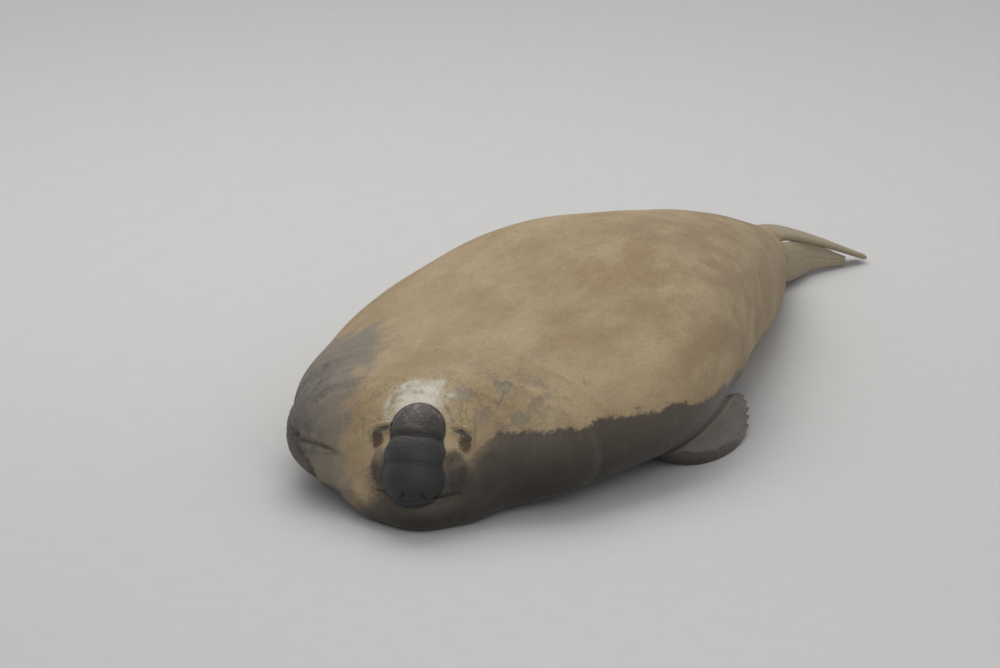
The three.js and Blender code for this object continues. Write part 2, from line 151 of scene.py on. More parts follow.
# The head. Skull, throat, muzzle, whisker pads, chin and eyelids are rounded masses of flesh that
# run into each other and into the thick neck; the nose is a row of three soft lobes over the mouth.
# Each mass is an egg shape in the head's own frame: forward, aside and up from under the eyes.
head_place = (0.117, 0.276)
head_turn = math.radians(23.0)
head_forward = np.array([math.sin(head_turn), -math.cos(head_turn), 0.0])
head_aside = np.array([math.cos(head_turn), math.sin(head_turn), 0.0])
upward = np.array([0.0, 0.0, 1.0])
head_masses = (
    ((-0.100, 0.000, 0.255), (0.270, 0.225, 0.220), -6, 0, 0.120),
    ((-0.040, 0.000, 0.100), (0.265, 0.330, 0.155), 0, 0, 0.080),
    ((0.060, 0.000, 0.240), (0.165, 0.150, 0.170), 0, 0, 0.050),
    ((0.125, 0.115, 0.235), (0.095, 0.075, 0.100), 0, -25, 0.030),
    ((0.130, 0.000, 0.085), (0.130, 0.130, 0.085), 0, 0, 0.050),
    ((0.042, 0.148, 0.368), (0.046, 0.050, 0.034), -30, -20, 0.025),
)
nose_lobes = (
    ((0.095, -0.008, 0.398), (0.120, 0.105, 0.085), -25, 0, 0.016),
    ((0.183, -0.010, 0.328), (0.105, 0.116, 0.082), -45, 0, 0.012),
    ((0.215, -0.012, 0.235), (0.115, 0.122, 0.100), -75, 0, 0.012),
)
nose_blend = 0.015
core_height = 0.27


def unit(line):
    """A single line made one metre long."""
    return line / np.linalg.norm(line)


def in_head(points):
    """Forward, aside and up coordinates of points in the head's frame."""
    off_x = points[..., 0] - head_place[0]
    off_y = points[..., 1] - head_place[1]
    forward = off_x * head_forward[0] + off_y * head_forward[1]
    aside = off_x * head_aside[0] + off_y * head_aside[1]
    return forward, aside, points[..., 2]


def from_head(forward, aside, up):
    """Point in the seal's frame from forward, aside and up in the head's frame."""
    place = np.array([head_place[0], head_place[1], 0.0])
    return place + forward * head_forward + aside * head_aside + up * upward


def mass_depth(forward, aside, up, mass):
    """Value of one egg-shaped mass: its scaled radius less one, times its smallest radius."""
    centre, radii, pitch, yaw, _ = mass
    off_f = forward - centre[0]
    off_a = aside - centre[1]
    off_u = up - centre[2]
    cos_yaw, sin_yaw = math.cos(math.radians(yaw)), math.sin(math.radians(yaw))
    cos_pitch, sin_pitch = math.cos(math.radians(pitch)), math.sin(math.radians(pitch))
    turned_f = off_f * cos_yaw + off_a * sin_yaw
    turned_a = off_a * cos_yaw - off_f * sin_yaw
    tipped_f = turned_f * cos_pitch + off_u * sin_pitch
    tipped_u = off_u * cos_pitch - turned_f * sin_pitch
    radius = np.sqrt((tipped_f / radii[0])**2 + (turned_a / radii[1])**2 + (tipped_u / radii[2])**2)
    return (radius - 1.0) * min(radii)


def run_together(first, second, width):
    """Smooth joining of two values over a width: the lower one, less a rounded fillet."""
    near = np.maximum(width - np.abs(first - second), 0.0) / width
    return np.minimum(first, second) - near * near * width * 0.25


def nose_depth(points):
    """Value of the nose alone: its three lobes run together, with a shallow groove between each."""
    forward, aside, up = in_head(points)
    value = mass_depth(forward, aside, up, nose_lobes[0])
    for lobe in nose_lobes[1:]:
        value = run_together(value, mass_depth(forward, aside, up, lobe), lobe[4])
    return value


def face_depth(points):
    """Value of trunk and head without the nose."""
    forward, aside, up = in_head(points)
    value = trunk_depth(points)
    for mass in head_masses:
        value = run_together(value, mass_depth(forward, np.abs(aside), up, mass), mass[4])
    return value


def body_depth(points):
    """Value of the whole body: face and trunk with the nose set on by a crisp crease."""
    return run_together(face_depth(points), nose_depth(points), nose_blend)


# The hide. One sheet of skin wraps head, neck and trunk. It is drawn as rings: cones of rays that
# open round a point inside the head, then sections down the trunk, each ray ending on the surface.
hide_around = 288
head_rings = 130
trunk_rings = 150
first_section = 0.32
last_section = 4.114
ray_length = 1.1
ray_samples = 64
ray_halvings = 12

around_share = np.linspace(0, 2 * math.pi, hide_around, endpoint=False) - math.pi / 2
around_angle = around_share + 0.45 * np.cos(around_share)
opening = np.linspace(0, math.pi / 2, head_rings + 1)[1:]
along_share = np.arange(1, trunk_rings) / trunk_rings
ring_along = first_section + (last_section - first_section) * along_share**1.35
ring_ease = ease((ring_along - first_section) / 0.5)

open_grid, angle_grid = np.meshgrid(opening, around_angle, indexing="ij")
head_rays = (np.cos(open_grid)[..., None] * head_forward
             + (np.sin(open_grid) * np.cos(angle_grid))[..., None] * head_aside
             + (np.sin(open_grid) * np.sin(angle_grid))[..., None] * upward)
head_starts = np.broadcast_to(from_head(0, 0, core_height), head_rays.shape)

neck_line = np.array([from_head(0.30 - along, 0, 0) for along in ring_along])
place_x, place_y = spine_place(ring_along)
ring_middle = (section_value(undersides, ring_along) * (1 - widest_share)
               + section_value(top_heights, ring_along) * widest_share)
start_x = neck_line[:, 0] * (1 - ring_ease) + place_x * ring_ease
start_y = neck_line[:, 1] * (1 - ring_ease) + place_y * ring_ease
start_z = core_height * (1 - ring_ease) + ring_middle * ring_ease
ring_turn = head_turn * (1 - ring_ease) + heading(ring_along) * ring_ease
turn_grid, angle_grid = np.meshgrid(ring_turn, around_angle, indexing="ij")
trunk_rays = np.stack([np.cos(angle_grid) * np.cos(turn_grid),
                       np.cos(angle_grid) * np.sin(turn_grid),
                       np.sin(angle_grid)], axis=-1)
trunk_starts = np.stack([start_x, start_y, start_z], axis=-1)[:, None, :] + 0 * trunk_rays


def ray_ends(starts, rays):
    """Farthest point of the body along each ray: the last inside sample, then twelve halvings."""
    shape = rays.shape
    starts = starts.reshape(-1, 3)
    rays = rays.reshape(-1, 3)
    near = np.zeros(len(rays))
    step = ray_length / ray_samples
    for sample in range(1, ray_samples):
        inside = body_depth(starts + rays * (step * sample)) < 0
        near[inside] = step * sample
    far = near + step
    for _ in range(ray_halvings):
        middle = (near + far) / 2
        inside = body_depth(starts + rays * middle[:, None]) < 0
        near = np.where(inside, middle, near)
        far = np.where(inside, far, middle)
    return (starts + rays * near[:, None]).reshape(shape)


hide = np.concatenate([ray_ends(head_starts, head_rays), ray_ends(trunk_starts, trunk_rays)])
hide[..., 2] = np.maximum(hide[..., 2], 0.0)


def grid_normals(grid):
    """Outward directions of a ringed grid, from the differences to the next ring and column."""
    down = np.gradient(grid, axis=0)
    across = np.roll(grid, -1, axis=1) - np.roll(grid, 1, axis=1)
    normal = np.cross(down, across)
    return normal / (np.linalg.norm(normal, axis=-1, keepdims=True) + 1e-9)


# Folds and openings of the hide. The eyelids are pressed nearly shut, the lips meet in a long
# line, the nostrils open under the tip, and loose skin gathers in folds behind the head.
# Each is a rise or a dent of the sheet, measured from its own line.
eye_normal = np.array([0.62, 0.40, 0.675])
eye_left_aside = 0.144
eye_right_aside = 0.127
slit_half = 0.053
slit_droop = math.radians(-30)
eye_forward = 0.022
eye_up = 0.345
slit_bow = 2.0
lid_height = 0.0085
lid_creases = ((0.032, 0.0050), (0.047, 0.0030), (-0.036, 0.0055), (-0.052, 0.0030))


def eye_frame(side):
    """Surface point, outward direction and slit directions of one eye, from a ray through it."""
    start = from_head(eye_forward, eye_left_aside if side > 0 else -eye_right_aside, eye_up)
    out = unit(eye_normal[0] * head_forward + eye_normal[1] * side * head_aside + eye_normal[2] * upward)
    front = ray_ends(start[None, :], out[None, :])[0]
    rise = unit(upward - out * out[2])
    width = np.cross(rise, out) * side
    slit = width * math.cos(slit_droop) + rise * math.sin(slit_droop)
    over = rise * math.cos(slit_droop) - width * math.sin(slit_droop)
    return front, out, slit, over


def ridge(distance, width):
    """Bell curve of a distance over a width."""
    return np.exp(-(distance / width)**2)


def lid_folds(points):
    """Height of the lids over the hide: a dent along the slit between two rims, and soft creases."""
    height = np.zeros(points.shape[:-1])
    for side in (1, -1):
        front, _, slit, over = eye_frame(side)
        offset = points - front
        near = ridge(np.linalg.norm(offset, axis=-1), 0.085)
        run = offset @ slit
        rise = offset @ over + slit_bow * run * run
        inside = ease((slit_half - np.abs(run)) / 0.010)
        height += inside * near * (-0.0170 * ridge(rise, 0.0055) + lid_height * ridge(rise - 0.0150, 0.0090)
                                   + 0.9 * lid_height * ridge(rise + 0.0170, 0.0110))
        for step, depth in lid_creases:
            bowed = rise - step * np.sqrt(np.maximum(1.0 - (run / 0.075)**2, 0.0))
            height -= near * depth * ridge(bowed, 0.0045) * ease((0.070 - np.abs(run)) / 0.03)
    return height


mouth_level = 0.158
mouth_half = 0.20
lip_dent = 0.0150
lip_width = 0.0055


def mouth_line(points):
    """Dent along the lips: level under the nose, rising a little toward the corners of the mouth."""
    forward, aside, up = in_head(points)
    level = mouth_level + 0.35 * aside * aside
    inside = ease((forward - 0.02) / 0.06) * ease((mouth_half - np.abs(aside)) / 0.03)
    groove = -lip_dent * ridge(up - level, lip_width)
    lips = 0.0015 * ridge(up - level - 0.014, 0.008) + 0.0030 * ridge(up - level + 0.014, 0.008)
    return inside * (groove + lips)


nostril_aside = 0.036
nostril_up = 0.184
nostril_dent = 0.014


def nostrils(points):
    """Dents of the two nostrils: short curved slots low on the front of the last lobe."""
    forward, aside, up = in_head(points)
    height = np.zeros(forward.shape)
    for side in (1, -1):
        across = aside * side - nostril_aside - 0.45 * (0.196 - up)
        rise = up - nostril_up
        inside = ridge(rise, 0.017) * ease((forward - 0.18) / 0.04)
        rims = 0.0012 * ridge(np.abs(across) - 0.012, 0.0060)
        height += inside * (rims - nostril_dent * ridge(across, 0.0070))
    return height


lobe_grooves = (0.010, 0.005)


def nose_grooves(points):
    """Deep grooves where the lobes of the nose meet, with the upper lobe hanging over the lower."""
    forward, aside, up = in_head(points)
    height = np.zeros(forward.shape)
    for upper, lower, depth in zip(nose_lobes[:-1], nose_lobes[1:], lobe_grooves):
        gap = mass_depth(forward, aside, up, upper) - mass_depth(forward, aside, up, lower)
        close = ease((0.012 - np.abs(mass_depth(forward, aside, up, upper))) / 0.010)
        height += close * (-depth * ridge(gap, 0.0060) + 0.4 * depth * ridge(gap + 0.013, 0.0120))
    return height


def side_lines(points):
    """Distances from two folds low on the right of the neck, and the share of each that is there."""
    forward, aside, up = in_head(points)
    level = up - 0.262 - 0.09 * (-aside - 0.39) - 0.006 * np.sin(aside * 40)
    along_neck = ease((-aside - 0.33) / 0.05) * ease((0.60 + aside) / 0.05) * ease((0.15 - forward) / 0.05)
    down = aside + 0.544 - 0.58 * (0.276 - up) - 0.010 * np.sin(up * 45)
    falling = ease((0.30 - up) / 0.03) * ease((up - 0.02) / 0.03) * ease((0.22 - forward) / 0.05)
    return level, along_neck, down, falling


def side_folds(points):
    """Dents of the two low folds: one runs forward along the neck, one down to the floor."""
    level, along_neck, down, falling = side_lines(points)
    return (along_neck * (-0.016 * ridge(level, 0.0085) + 0.007 * ridge(level + 0.022, 0.014))
            + falling * (-0.018 * ridge(down, 0.0110) + 0.008 * ridge(down - 0.028, 0.018)))


def nose_wrinkles(points):
    """Fine cross wrinkles of the nose, close together and shallow, bent like its lobes."""
    forward, aside, up = in_head(points)
    over = (0.50 - up) * 0.85 + forward * 0.45 + 1.1 * aside * aside
    on_nose = ease((0.004 - nose_depth(points)) / 0.008) * ease((0.008 - nose_depth(points)) / 0.012)
    fine = 0.0006 * np.sin(over * 210 + 5 * np.sin(aside * 38)) + 0.0004 * np.sin(over * 430 + 60 * aside)
    return on_nose * fine * ease((0.50 - up) / 0.05)


def crease_lines(points):
    """Thin lines in the loose skin round the nose, from 0 to 1: rings at uneven distances from it."""
    forward, aside, up = in_head(points)
    away = nose_depth(points)
    wave = np.sin(aside * 31 + up * 17) + 0.6 * np.sin(aside * 67 - forward * 41 + 1.0)
    rings = np.maximum(np.cos((away + 0.007 * wave) * 225), 0.0)**9
    broken = ease(0.75 + 0.9 * np.sin(aside * 43 + forward * 23 + away * 90))
    reach = ease((away - 0.010) / 0.02) * ease((0.19 - away) / 0.09) * ease((up - 0.27) / 0.10)
    return rings * broken * reach


def brow_creases(points):
    """Dents of the creases in the loose skin, and the deep fold over the right of the crown."""
    forward, aside, up = in_head(points)
    crown = forward + 0.088 - 0.9 * np.maximum(-aside - 0.06, 0.0)
    across = ease((aside + 0.165) / 0.04) * ease((0.02 - aside) / 0.07) * ease((up - 0.42) / 0.03)
    fold = across * (-0.016 * ridge(crown, 0.0075) + 0.008 * ridge(crown - 0.020, 0.014)
                     + 0.004 * ridge(crown + 0.020, 0.012))
    return fold - 0.0050 * crease_lines(points)


ear_place = (-0.120, 0.205, 0.360)
ear_dent = 0.012
ear_width = 0.008


def ear_holes(points):
    """Small round dents of the ears, a hand behind and below each eye."""
    height = np.zeros(points.shape[:-1])
    for side in (1, -1):
        start = from_head(-0.02, 0.0, 0.30)
        aim = unit(from_head(ear_place[0], ear_place[1] * side, ear_place[2]) - start)
        place = ray_ends(start[None, :], aim[None, :])[0]
        gap = np.linalg.norm(points - place, axis=-1)
        height += -ear_dent * ridge(gap, ear_width) + 0.002 * ridge(gap - 0.014, 0.006)
    return height


neck_creases = (
    (0.385, 1.05, 0.85, 0.0075, 0.010, 0.05), (0.470, 0.62, 0.45, 0.0090, 0.012, 0.07),
    (0.585, 0.50, 0.38, 0.0085, 0.013, 0.08), (0.430, 2.62, 0.50, 0.0090, 0.013, -0.05),
    (0.520, 2.75, 0.42, 0.0070, 0.014, -0.06), (0.700, 0.55, 0.30, 0.0060, 0.014, 0.06),
    (0.350, 1.60, 0.50, 0.0050, 0.010, 0.00), (0.660, 2.70, 0.35, 0.0060, 0.015, -0.05),
)


def neck_folds(along, angle):
    """Creases round the neck, each at its own length and side, deepest at its middle."""
    height = np.zeros(along.shape)
    wave = 0.010 * np.sin(angle * 3.1) + 0.006 * np.sin(angle * 7.3 + 1.0)
    for place, side, spread, depth, width, lean in neck_creases:
        reach = ridge(angle - side, spread)
        offset = along - place - wave - lean * (angle - side)
        rims = ridge(offset - 2.2 * width, 1.6 * width) + ridge(offset + 2.2 * width, 1.6 * width)
        height += reach * depth * (0.45 * rims - ridge(offset, width))
    return height


shoulder_swells = (
    ((0.78, 1.30, 0.30), (0.34, 0.26, 0.22), 0.018),
    ((0.74, 1.78, 0.22), (0.25, 0.15, 0.13), -0.012),
)


def shoulder(points):
    """Swell of the shoulder over each fore flipper, and the hollow behind it."""
    swell = np.zeros(points.shape[:-1])
    for side in (1, -1):
        for place, spread, height in shoulder_swells:
            offset = points - np.array(place) * [side, 1, 1]
            swell += height * ridge(np.linalg.norm(offset / np.array(spread), axis=-1), 1.0)
    return swell


swell_height = 0.0040
small_swell_height = 0.0018


def blubber(along, angle):
    """Slow swells of blubber under the hide, a few millimetres high and hand-wide."""
    swell = np.sin(along * 6.1 + 1.2 * np.sin(angle * 2.0)) * np.sin(angle * 3.0 + along * 1.7)
    small = np.sin(along * 13.0 + angle * 4.0) * np.sin(angle * 7.0 - along * 5.0)
    return (swell_height * swell + small_swell_height * small) * ease((along - 0.45) / 0.4)


hide_along = length_along(hide)
hide_angle = angle_round(hide, hide_along)
out_of_hide = grid_normals(hide)
raised = (lid_folds(hide) + mouth_line(hide) + nostrils(hide) + nose_wrinkles(hide)
          + brow_creases(hide) + ear_holes(hide) + nose_grooves(hide) + side_folds(hide) + shoulder(hide)
          + neck_folds(hide_along, hide_angle) + blubber(hide_along, hide_angle))
raised = raised * ease((hide[..., 2] - 0.004) / 0.03)
hide = hide + out_of_hide * raised[..., None]
hide[..., 2] = np.maximum(hide[..., 2], 0.0)


# The flippers. Each is a flat, tapered paddle of webbed digits, thick where it leaves the body and
# thin at the edge; the fore pair is held back along the flanks and the hind pair trails behind.
# A paddle is an oval section carried along a bent path, ridged over each digit and notched between.
overrun = 0.300
paddle_rows = 44
paddle_around = 72
fore_path = ((0.600, 1.260, 0.150), (0.735, 1.420, 0.105), (0.765, 1.640, 0.088), (0.735, 1.880, 0.084))
fore_across = ((0.55, -0.05, -0.83), (0.45, 0.30, -0.84))
fore_half = (0.095, 0.125, 0.116, 0.072)
fore_thick = (0.052, 0.046, 0.032, 0.018)
fore_notch = 0.011
fore_ridge = 0.003
fore_skew = 0.034
fore_shape = (fore_path, fore_across, fore_half, fore_thick, fore_notch, fore_ridge, fore_skew)
near_path = ((-0.060, 3.420, 0.150), (-0.048, 3.690, 0.112), (-0.035, 3.890, 0.085), (0.058, 4.075, 0.030))
near_across = ((0.30, 0.05, -0.95), (0.42, 0.10, -0.90))
near_half = (0.095, 0.090, 0.067, 0.020)
near_thick = (0.060, 0.040, 0.022, 0.009)
far_path = ((-0.195, 3.560, 0.215), (-0.150, 3.760, 0.215), (-0.075, 3.960, 0.145), (0.086, 4.188, 0.022))
far_across = ((0.90, -0.34, -0.20), (0.90, -0.38, 0.0))
far_half = (0.070, 0.074, 0.072, 0.044)
far_thick = (0.046, 0.028, 0.020, 0.010)
digits = 5


def bent_path(corners, share):
    """Centripetal spline through four corner points, and its direction, at shares from 0 to 1."""
    corners = np.array(corners)
    before = 2 * corners[0] - corners[1]
    after = 2 * corners[-1] - corners[-2]
    line = np.vstack([before, corners, after])
    place = np.clip(share, 0, 1) * (len(corners) - 1)
    low = np.minimum(place.astype(int), len(corners) - 2)
    knots = np.sqrt(np.linalg.norm(np.diff(line, axis=0), axis=1))
    first, second, third, fourth = (line[low + step] for step in range(4))
    gap_a, gap_b, gap_c = (knots[low + step][..., None] for step in range(3))
    leave = ((second - first) / gap_a - (third - first) / (gap_a + gap_b) + (third - second) / gap_b) * gap_b
    arrive = (third - second) / gap_b - (fourth - second) / (gap_b + gap_c) + (fourth - third) / gap_c
    arrive = arrive * gap_b
    run = (place - low)[..., None]
    weights = cubic_weights(run)
    point = weights[0] * second + weights[1] * leave + weights[2] * third + weights[3] * arrive
    tangent = ((6 * run**2 - 6 * run) * second + (3 * run**2 - 4 * run + 1) * leave
               + (6 * run - 6 * run**2) * third + (3 * run**2 - 2 * run) * arrive)
    return point, tangent / np.linalg.norm(tangent, axis=-1, keepdims=True)


def station_curve(values, share):
    """Cubic curve through evenly spaced values, with centred slopes, at shares from 0 to 1."""
    values = np.array(values)
    slopes = np.gradient(values)
    place = np.clip(share, 0, 1) * (len(values) - 1)
    low = np.minimum(place.astype(int), len(values) - 2)
    weights = cubic_weights(place - low)
    return (weights[0] * values[low] + weights[1] * slopes[low]
            + weights[2] * values[low + 1] + weights[3] * slopes[low + 1])


def paddle_points(path, across, half, thick, notch, ridge_high, skew, side, share, angle):
    """Point of a paddle at a share of its length and an angle round its oval section."""
    path = np.array(path) * np.array([side, 1, 1])
    flat = np.cos(angle)
    rim = np.sin(angle)
    digit = -np.cos(math.pi * digits * (flat + 1))
    reach = share - share**2 * (notch * (0.5 - 0.5 * digit) + skew * flat) / overrun
    point, tangent = bent_path(path, reach)
    turn = share[..., None]
    wide = (1 - turn) * np.array(across[0]) * [side, 1, 1] + turn * np.array(across[1]) * [side, 1, 1]
    wide = wide - tangent * np.sum(wide * tangent, axis=-1, keepdims=True)
    wide = wide / np.linalg.norm(wide, axis=-1, keepdims=True)
    out = np.cross(tangent, wide)
    width = station_curve(half, share)
    depth = station_curve(thick, share) + ridge_high * digit * share
    point = point + wide * (flat * width)[..., None]
    point = point + out * (np.sign(rim) * np.abs(rim)**0.8 * depth)[..., None]
    point = point + tangent * (np.maximum(reach - 1, 0) * overrun)[..., None]
    return point


def paddle(shape):
    """Closed paddle: its grid of rings, the root ring closed by a fan and the tip by a strip."""
    share = np.linspace(0, 1, paddle_rows + 1)**0.85
    angle = np.linspace(0, 2 * math.pi, paddle_around, endpoint=False)
    share_grid, angle_grid = np.meshgrid(share, angle, indexing="ij")
    grid = paddle_points(*shape, share_grid, angle_grid)
    grid[..., 2] = np.maximum(grid[..., 2], 0.0)
    points = np.vstack([grid.reshape(-1, 3), grid[0].mean(axis=0)])
    faces = []
    for row in range(paddle_rows):
        for column in range(paddle_around):
            beside = (column + 1) % paddle_around
            faces.append((row * paddle_around + column, row * paddle_around + beside,
                          (row + 1) * paddle_around + beside, (row + 1) * paddle_around + column))
    for column in range(paddle_around):
        faces.append(((column + 1) % paddle_around, column, len(points) - 1))
    tip = paddle_rows * paddle_around
    for column in range(paddle_around // 2):
        opposite = (paddle_around - column) % paddle_around
        next_opposite = paddle_around - column - 1
        corner = (tip + column, tip + column + 1, tip + next_opposite, tip + opposite)
        faces.append(tuple(dict.fromkeys(corner)))
    if shape[-1] < 0:
        faces = [face[::-1] for face in faces]
    return points, faces


flipper_shapes = (
    ("fore_left", (*fore_shape, 1)),
    ("fore_right", (*fore_shape, -1)),
    ("hind_left", (near_path, near_across, near_half, near_thick, 0.008, 0.0015, 0.0, 1)),
    ("hind_right", (far_path, far_across, far_half, far_thick, 0.010, 0.0015, 0.0, 1)),
)


def in_scene(name, data):
    """New object that shows some data, linked into the scene."""
    thing = bpy.data.objects.new(name, data)
    bpy.context.collection.objects.link(thing)
    return thing


def piece_from(name, points, faces):
    """New smooth mesh object from points in metres and a list of faces, moved into the frame."""
    mesh = bpy.data.meshes.new(name)
    mesh.from_pydata((points + frame_shift).tolist(), [], faces)
    mesh.update()
    mesh.shade_smooth()
    return in_scene(name, mesh)


# The joined skin. The sheet is closed at the nose and the rump, the four paddles are joined to it,
# and the join is softened over a few centimetres so that each flipper grows out of the flank.
ring_count = hide.shape[0]
nose_pole = ray_ends(from_head(0, 0, core_height)[None, :], head_forward[None, :])[0]
rump_pole = hide[-1].mean(axis=0)
skin_points = np.vstack([hide.reshape(-1, 3), nose_pole, rump_pole])
row_index, column_index = np.meshgrid(np.arange(ring_count - 1), np.arange(hide_around), indexing="ij")
beside_index = (column_index + 1) % hide_around
skin_quads = np.stack([row_index * hide_around + column_index,
                       (row_index + 1) * hide_around + column_index,
                       (row_index + 1) * hide_around + beside_index,
                       row_index * hide_around + beside_index], axis=-1).reshape(-1, 4)
skin_faces = [tuple(face) for face in skin_quads.tolist()]
for column in range(hide_around):
    beside = (column + 1) % hide_around
    last_row = (ring_count - 1) * hide_around
    skin_faces.append((len(skin_points) - 2, column, beside))
    skin_faces.append((len(skin_points) - 1, last_row + beside, last_row + column))
skin = piece_from("seal_skin", skin_points, skin_faces)

paddle_clouds = []
for name, shape in flipper_shapes:
    points, faces = paddle(shape)
    paddle_clouds.append(points)
    limb = piece_from("paddle_" + name, points, faces)
    joining = skin.modifiers.new("join_" + name, "BOOLEAN")
    joining.operation = "UNION"
    joining.solver = "MANIFOLD"
    joining.object = limb
    bpy.context.view_layer.objects.active = skin
    bpy.ops.object.modifier_apply(modifier=joining.name)
    bpy.data.objects.remove(limb)

soften_reach = 0.045
soften_steps = 14
skin_mesh = skin.data
count = len(skin_mesh.vertices)
joined = np.empty(count * 3)
skin_mesh.vertices.foreach_get("co", joined)
joined = joined.reshape(-1, 3) - frame_shift
edge_ends = np.empty(len(skin_mesh.edges) * 2, dtype=int)
skin_mesh.edges.foreach_get("vertices", edge_ends)
edge_ends = edge_ends.reshape(-1, 2)

seam_gap = np.full(count, 9.0)
outside = face_depth(joined)
for cloud in paddle_clouds:
    near_box = np.all((joined > cloud.min(axis=0) - 0.05) & (joined < cloud.max(axis=0) + 0.05), axis=1)
    chosen = np.where(near_box)[0]
    rim = cloud[np.abs(face_depth(cloud)) < 0.03]
    for start in range(0, len(chosen), 2000):
        part = chosen[start:start + 2000]
        gap = np.linalg.norm(joined[part][:, None, :] - rim[None, :, :], axis=-1).min(axis=1)
        seam_gap[part] = np.minimum(seam_gap[part], np.maximum(gap, np.abs(outside[part])))
soften = ease((soften_reach - seam_gap) / 0.035)[:, None] * 0.6
soft_edges = edge_ends[(soften[edge_ends[:, 0], 0] + soften[edge_ends[:, 1], 0]) > 0]
edge_from = np.concatenate([soft_edges[:, 0], soft_edges[:, 1]])
edge_to = np.concatenate([soft_edges[:, 1], soft_edges[:, 0]])
edge_count = np.maximum(np.bincount(edge_from, minlength=count), 1)[:, None]
for _ in range(soften_steps):
    total = np.stack([np.bincount(edge_from, weights=joined[edge_to, axis], minlength=count)
                      for axis in range(3)], axis=-1)
    joined = joined + (total / edge_count - joined) * soften
joined[:, 2] = np.maximum(joined[:, 2], 0.0)
skin_mesh.vertices.foreach_set("co", (joined + frame_shift).ravel())
skin_mesh.update()
skin_mesh.shade_smooth()


# Markings of the coat. The sea has wetted the lower flank dark, the brow is bleached, the neck is
# mottled grey, the rump and one flank are rusty, the nose is bare slate skin, and salty tears have
# stained the hair under the eyes. Painted shade is laid on as well: the wet hair is painted darker
# still toward the floor, the creases and low neck folds are painted dark, the right of the neck is
# painted darker low down behind its fold, and the nose is painted black on its low lobes. Each
# marking is a distance or a share kept on the skin's points.
wet_at = (0.00, 0.40, 0.75, 1.32, 1.75, 2.00, 2.60, 3.20, 4.30)
wet_left = (0.33, 0.385, 0.375, 0.335, 0.285, 0.240, 0.02, -0.02, -0.02)
wet_right = (0.08, 0.10, 0.13, 0.15, 0.15, 0.14, 0.02, -0.02, -0.02)


def markings(points):
    """All markings at points: wetness as a height under the water line, and masks from 0 to 1."""
    forward, aside, up = in_head(points)
    along = length_along(points)
    beside = beside_spine(points, along)
    left = ease((beside + 0.10) / 0.30)
    line = (np.interp(points[..., 1], wet_at, wet_left) * left
            + np.interp(points[..., 1], wet_at, wet_right) * (1 - left))
    on_head = ease((forward + 0.14) / 0.14)
    head_line = 0.11 + 0.13 * ease((aside + 0.25) / 0.18) + 0.13 * ease((aside - 0.12) / 0.20)
    line = line * (1 - on_head) + head_line * on_head
    nose = -nose_depth(points)
    brow = ridge(np.sqrt(((forward + 0.030) * 0.9)**2 + ((aside + 0.015) * 0.72)**2 + ((up - 0.49) * 0.7)**2),
                 0.105)
    outside = face_depth(points)
    tears = np.zeros(along.shape)
    lid = np.zeros(along.shape)
    for side in (1, -1):
        front, _, slit, over = eye_frame(side)
        offset = points - front
        run = offset @ slit
        rise = offset @ over + slit_bow * run * run
        tears = np.maximum(tears, ridge(run - 0.026, 0.036) * ridge(rise + 0.044, 0.044))
        close = ridge(np.linalg.norm(offset, axis=-1), 0.06)
        level = ridge(rise + 0.012, 0.0170) * ease((slit_half + 0.006 - np.abs(run)) / 0.016)
        lid = np.maximum(lid, level * close)
    pads = np.zeros(along.shape)
    for side in (1, -1):
        reach = mass_depth(forward, aside * side, up, head_masses[3])
        pads = np.maximum(pads, ease((0.016 - reach) / 0.026))
    pads = pads * ease((forward - 0.06) / 0.06)
    beyond = 0.544 - 0.58 * (0.276 - up)
    grey = ease((-beside - 0.10) / 0.50) * ease((1.30 - along) / 0.7)
    # Painted shade: low down behind the fold that falls to the floor on the right of the neck, the grey is
    # pushed deeper toward the darkest neck colour.
    grey = grey + 0.5 * ease((-aside - beyond) / 0.03) * ease((0.33 - up) / 0.08) * ease((0.9 - along) / 0.3)
    peel = ridge(np.sqrt((forward + 0.13)**2 + ((aside - 0.30) * 0.8)**2), 0.17) * ease((up - 0.30) / 0.1)
    level, along_neck, down, falling = side_lines(points)
    # Painted shade: the lines round the nose and the two low folds of the neck are marked so the colour
    # darkens along them, where shade falls in the folds.
    crease_shade = np.maximum(0.55 * crease_lines(points), 0.9 * along_neck * ridge(level, 0.009))
    crease_shade = np.maximum(crease_shade, 0.9 * falling * ridge(down, 0.011))
    rust = ridge(along - 2.05, 0.75) * ease((beside + 0.1) / 0.35)
    rump = ease((along - 2.5) / 0.8)
    limb = ease((outside - 0.004) / 0.02) * ease((0.02 - nose) / 0.01)
    line = line - 0.27 * limb
    face = ease((0.20 - np.sqrt((forward * 0.7)**2 + aside**2 + ((up - 0.3) * 0.8)**2)) / 0.10)
    return {"wet": line - up, "nose": nose, "brow": brow, "tears": tears, "lid": lid, "pads": pads,
            "grey": grey, "rust": rust, "rump": rump, "limb": limb, "face": face,
            "soft": ease(forward / 0.08), "peel": peel, "crease_shade": crease_shade}


def keep_markings(mesh, places, points_each=1):
    """Keeps every marking of some places on a mesh, as a number at each of its points."""
    for name, values in markings(places).items():
        layer = mesh.attributes.new(name, "FLOAT", "POINT")
        layer.data.foreach_set("value", np.repeat(values, points_each).astype(np.float32))


keep_markings(skin_mesh, joined)
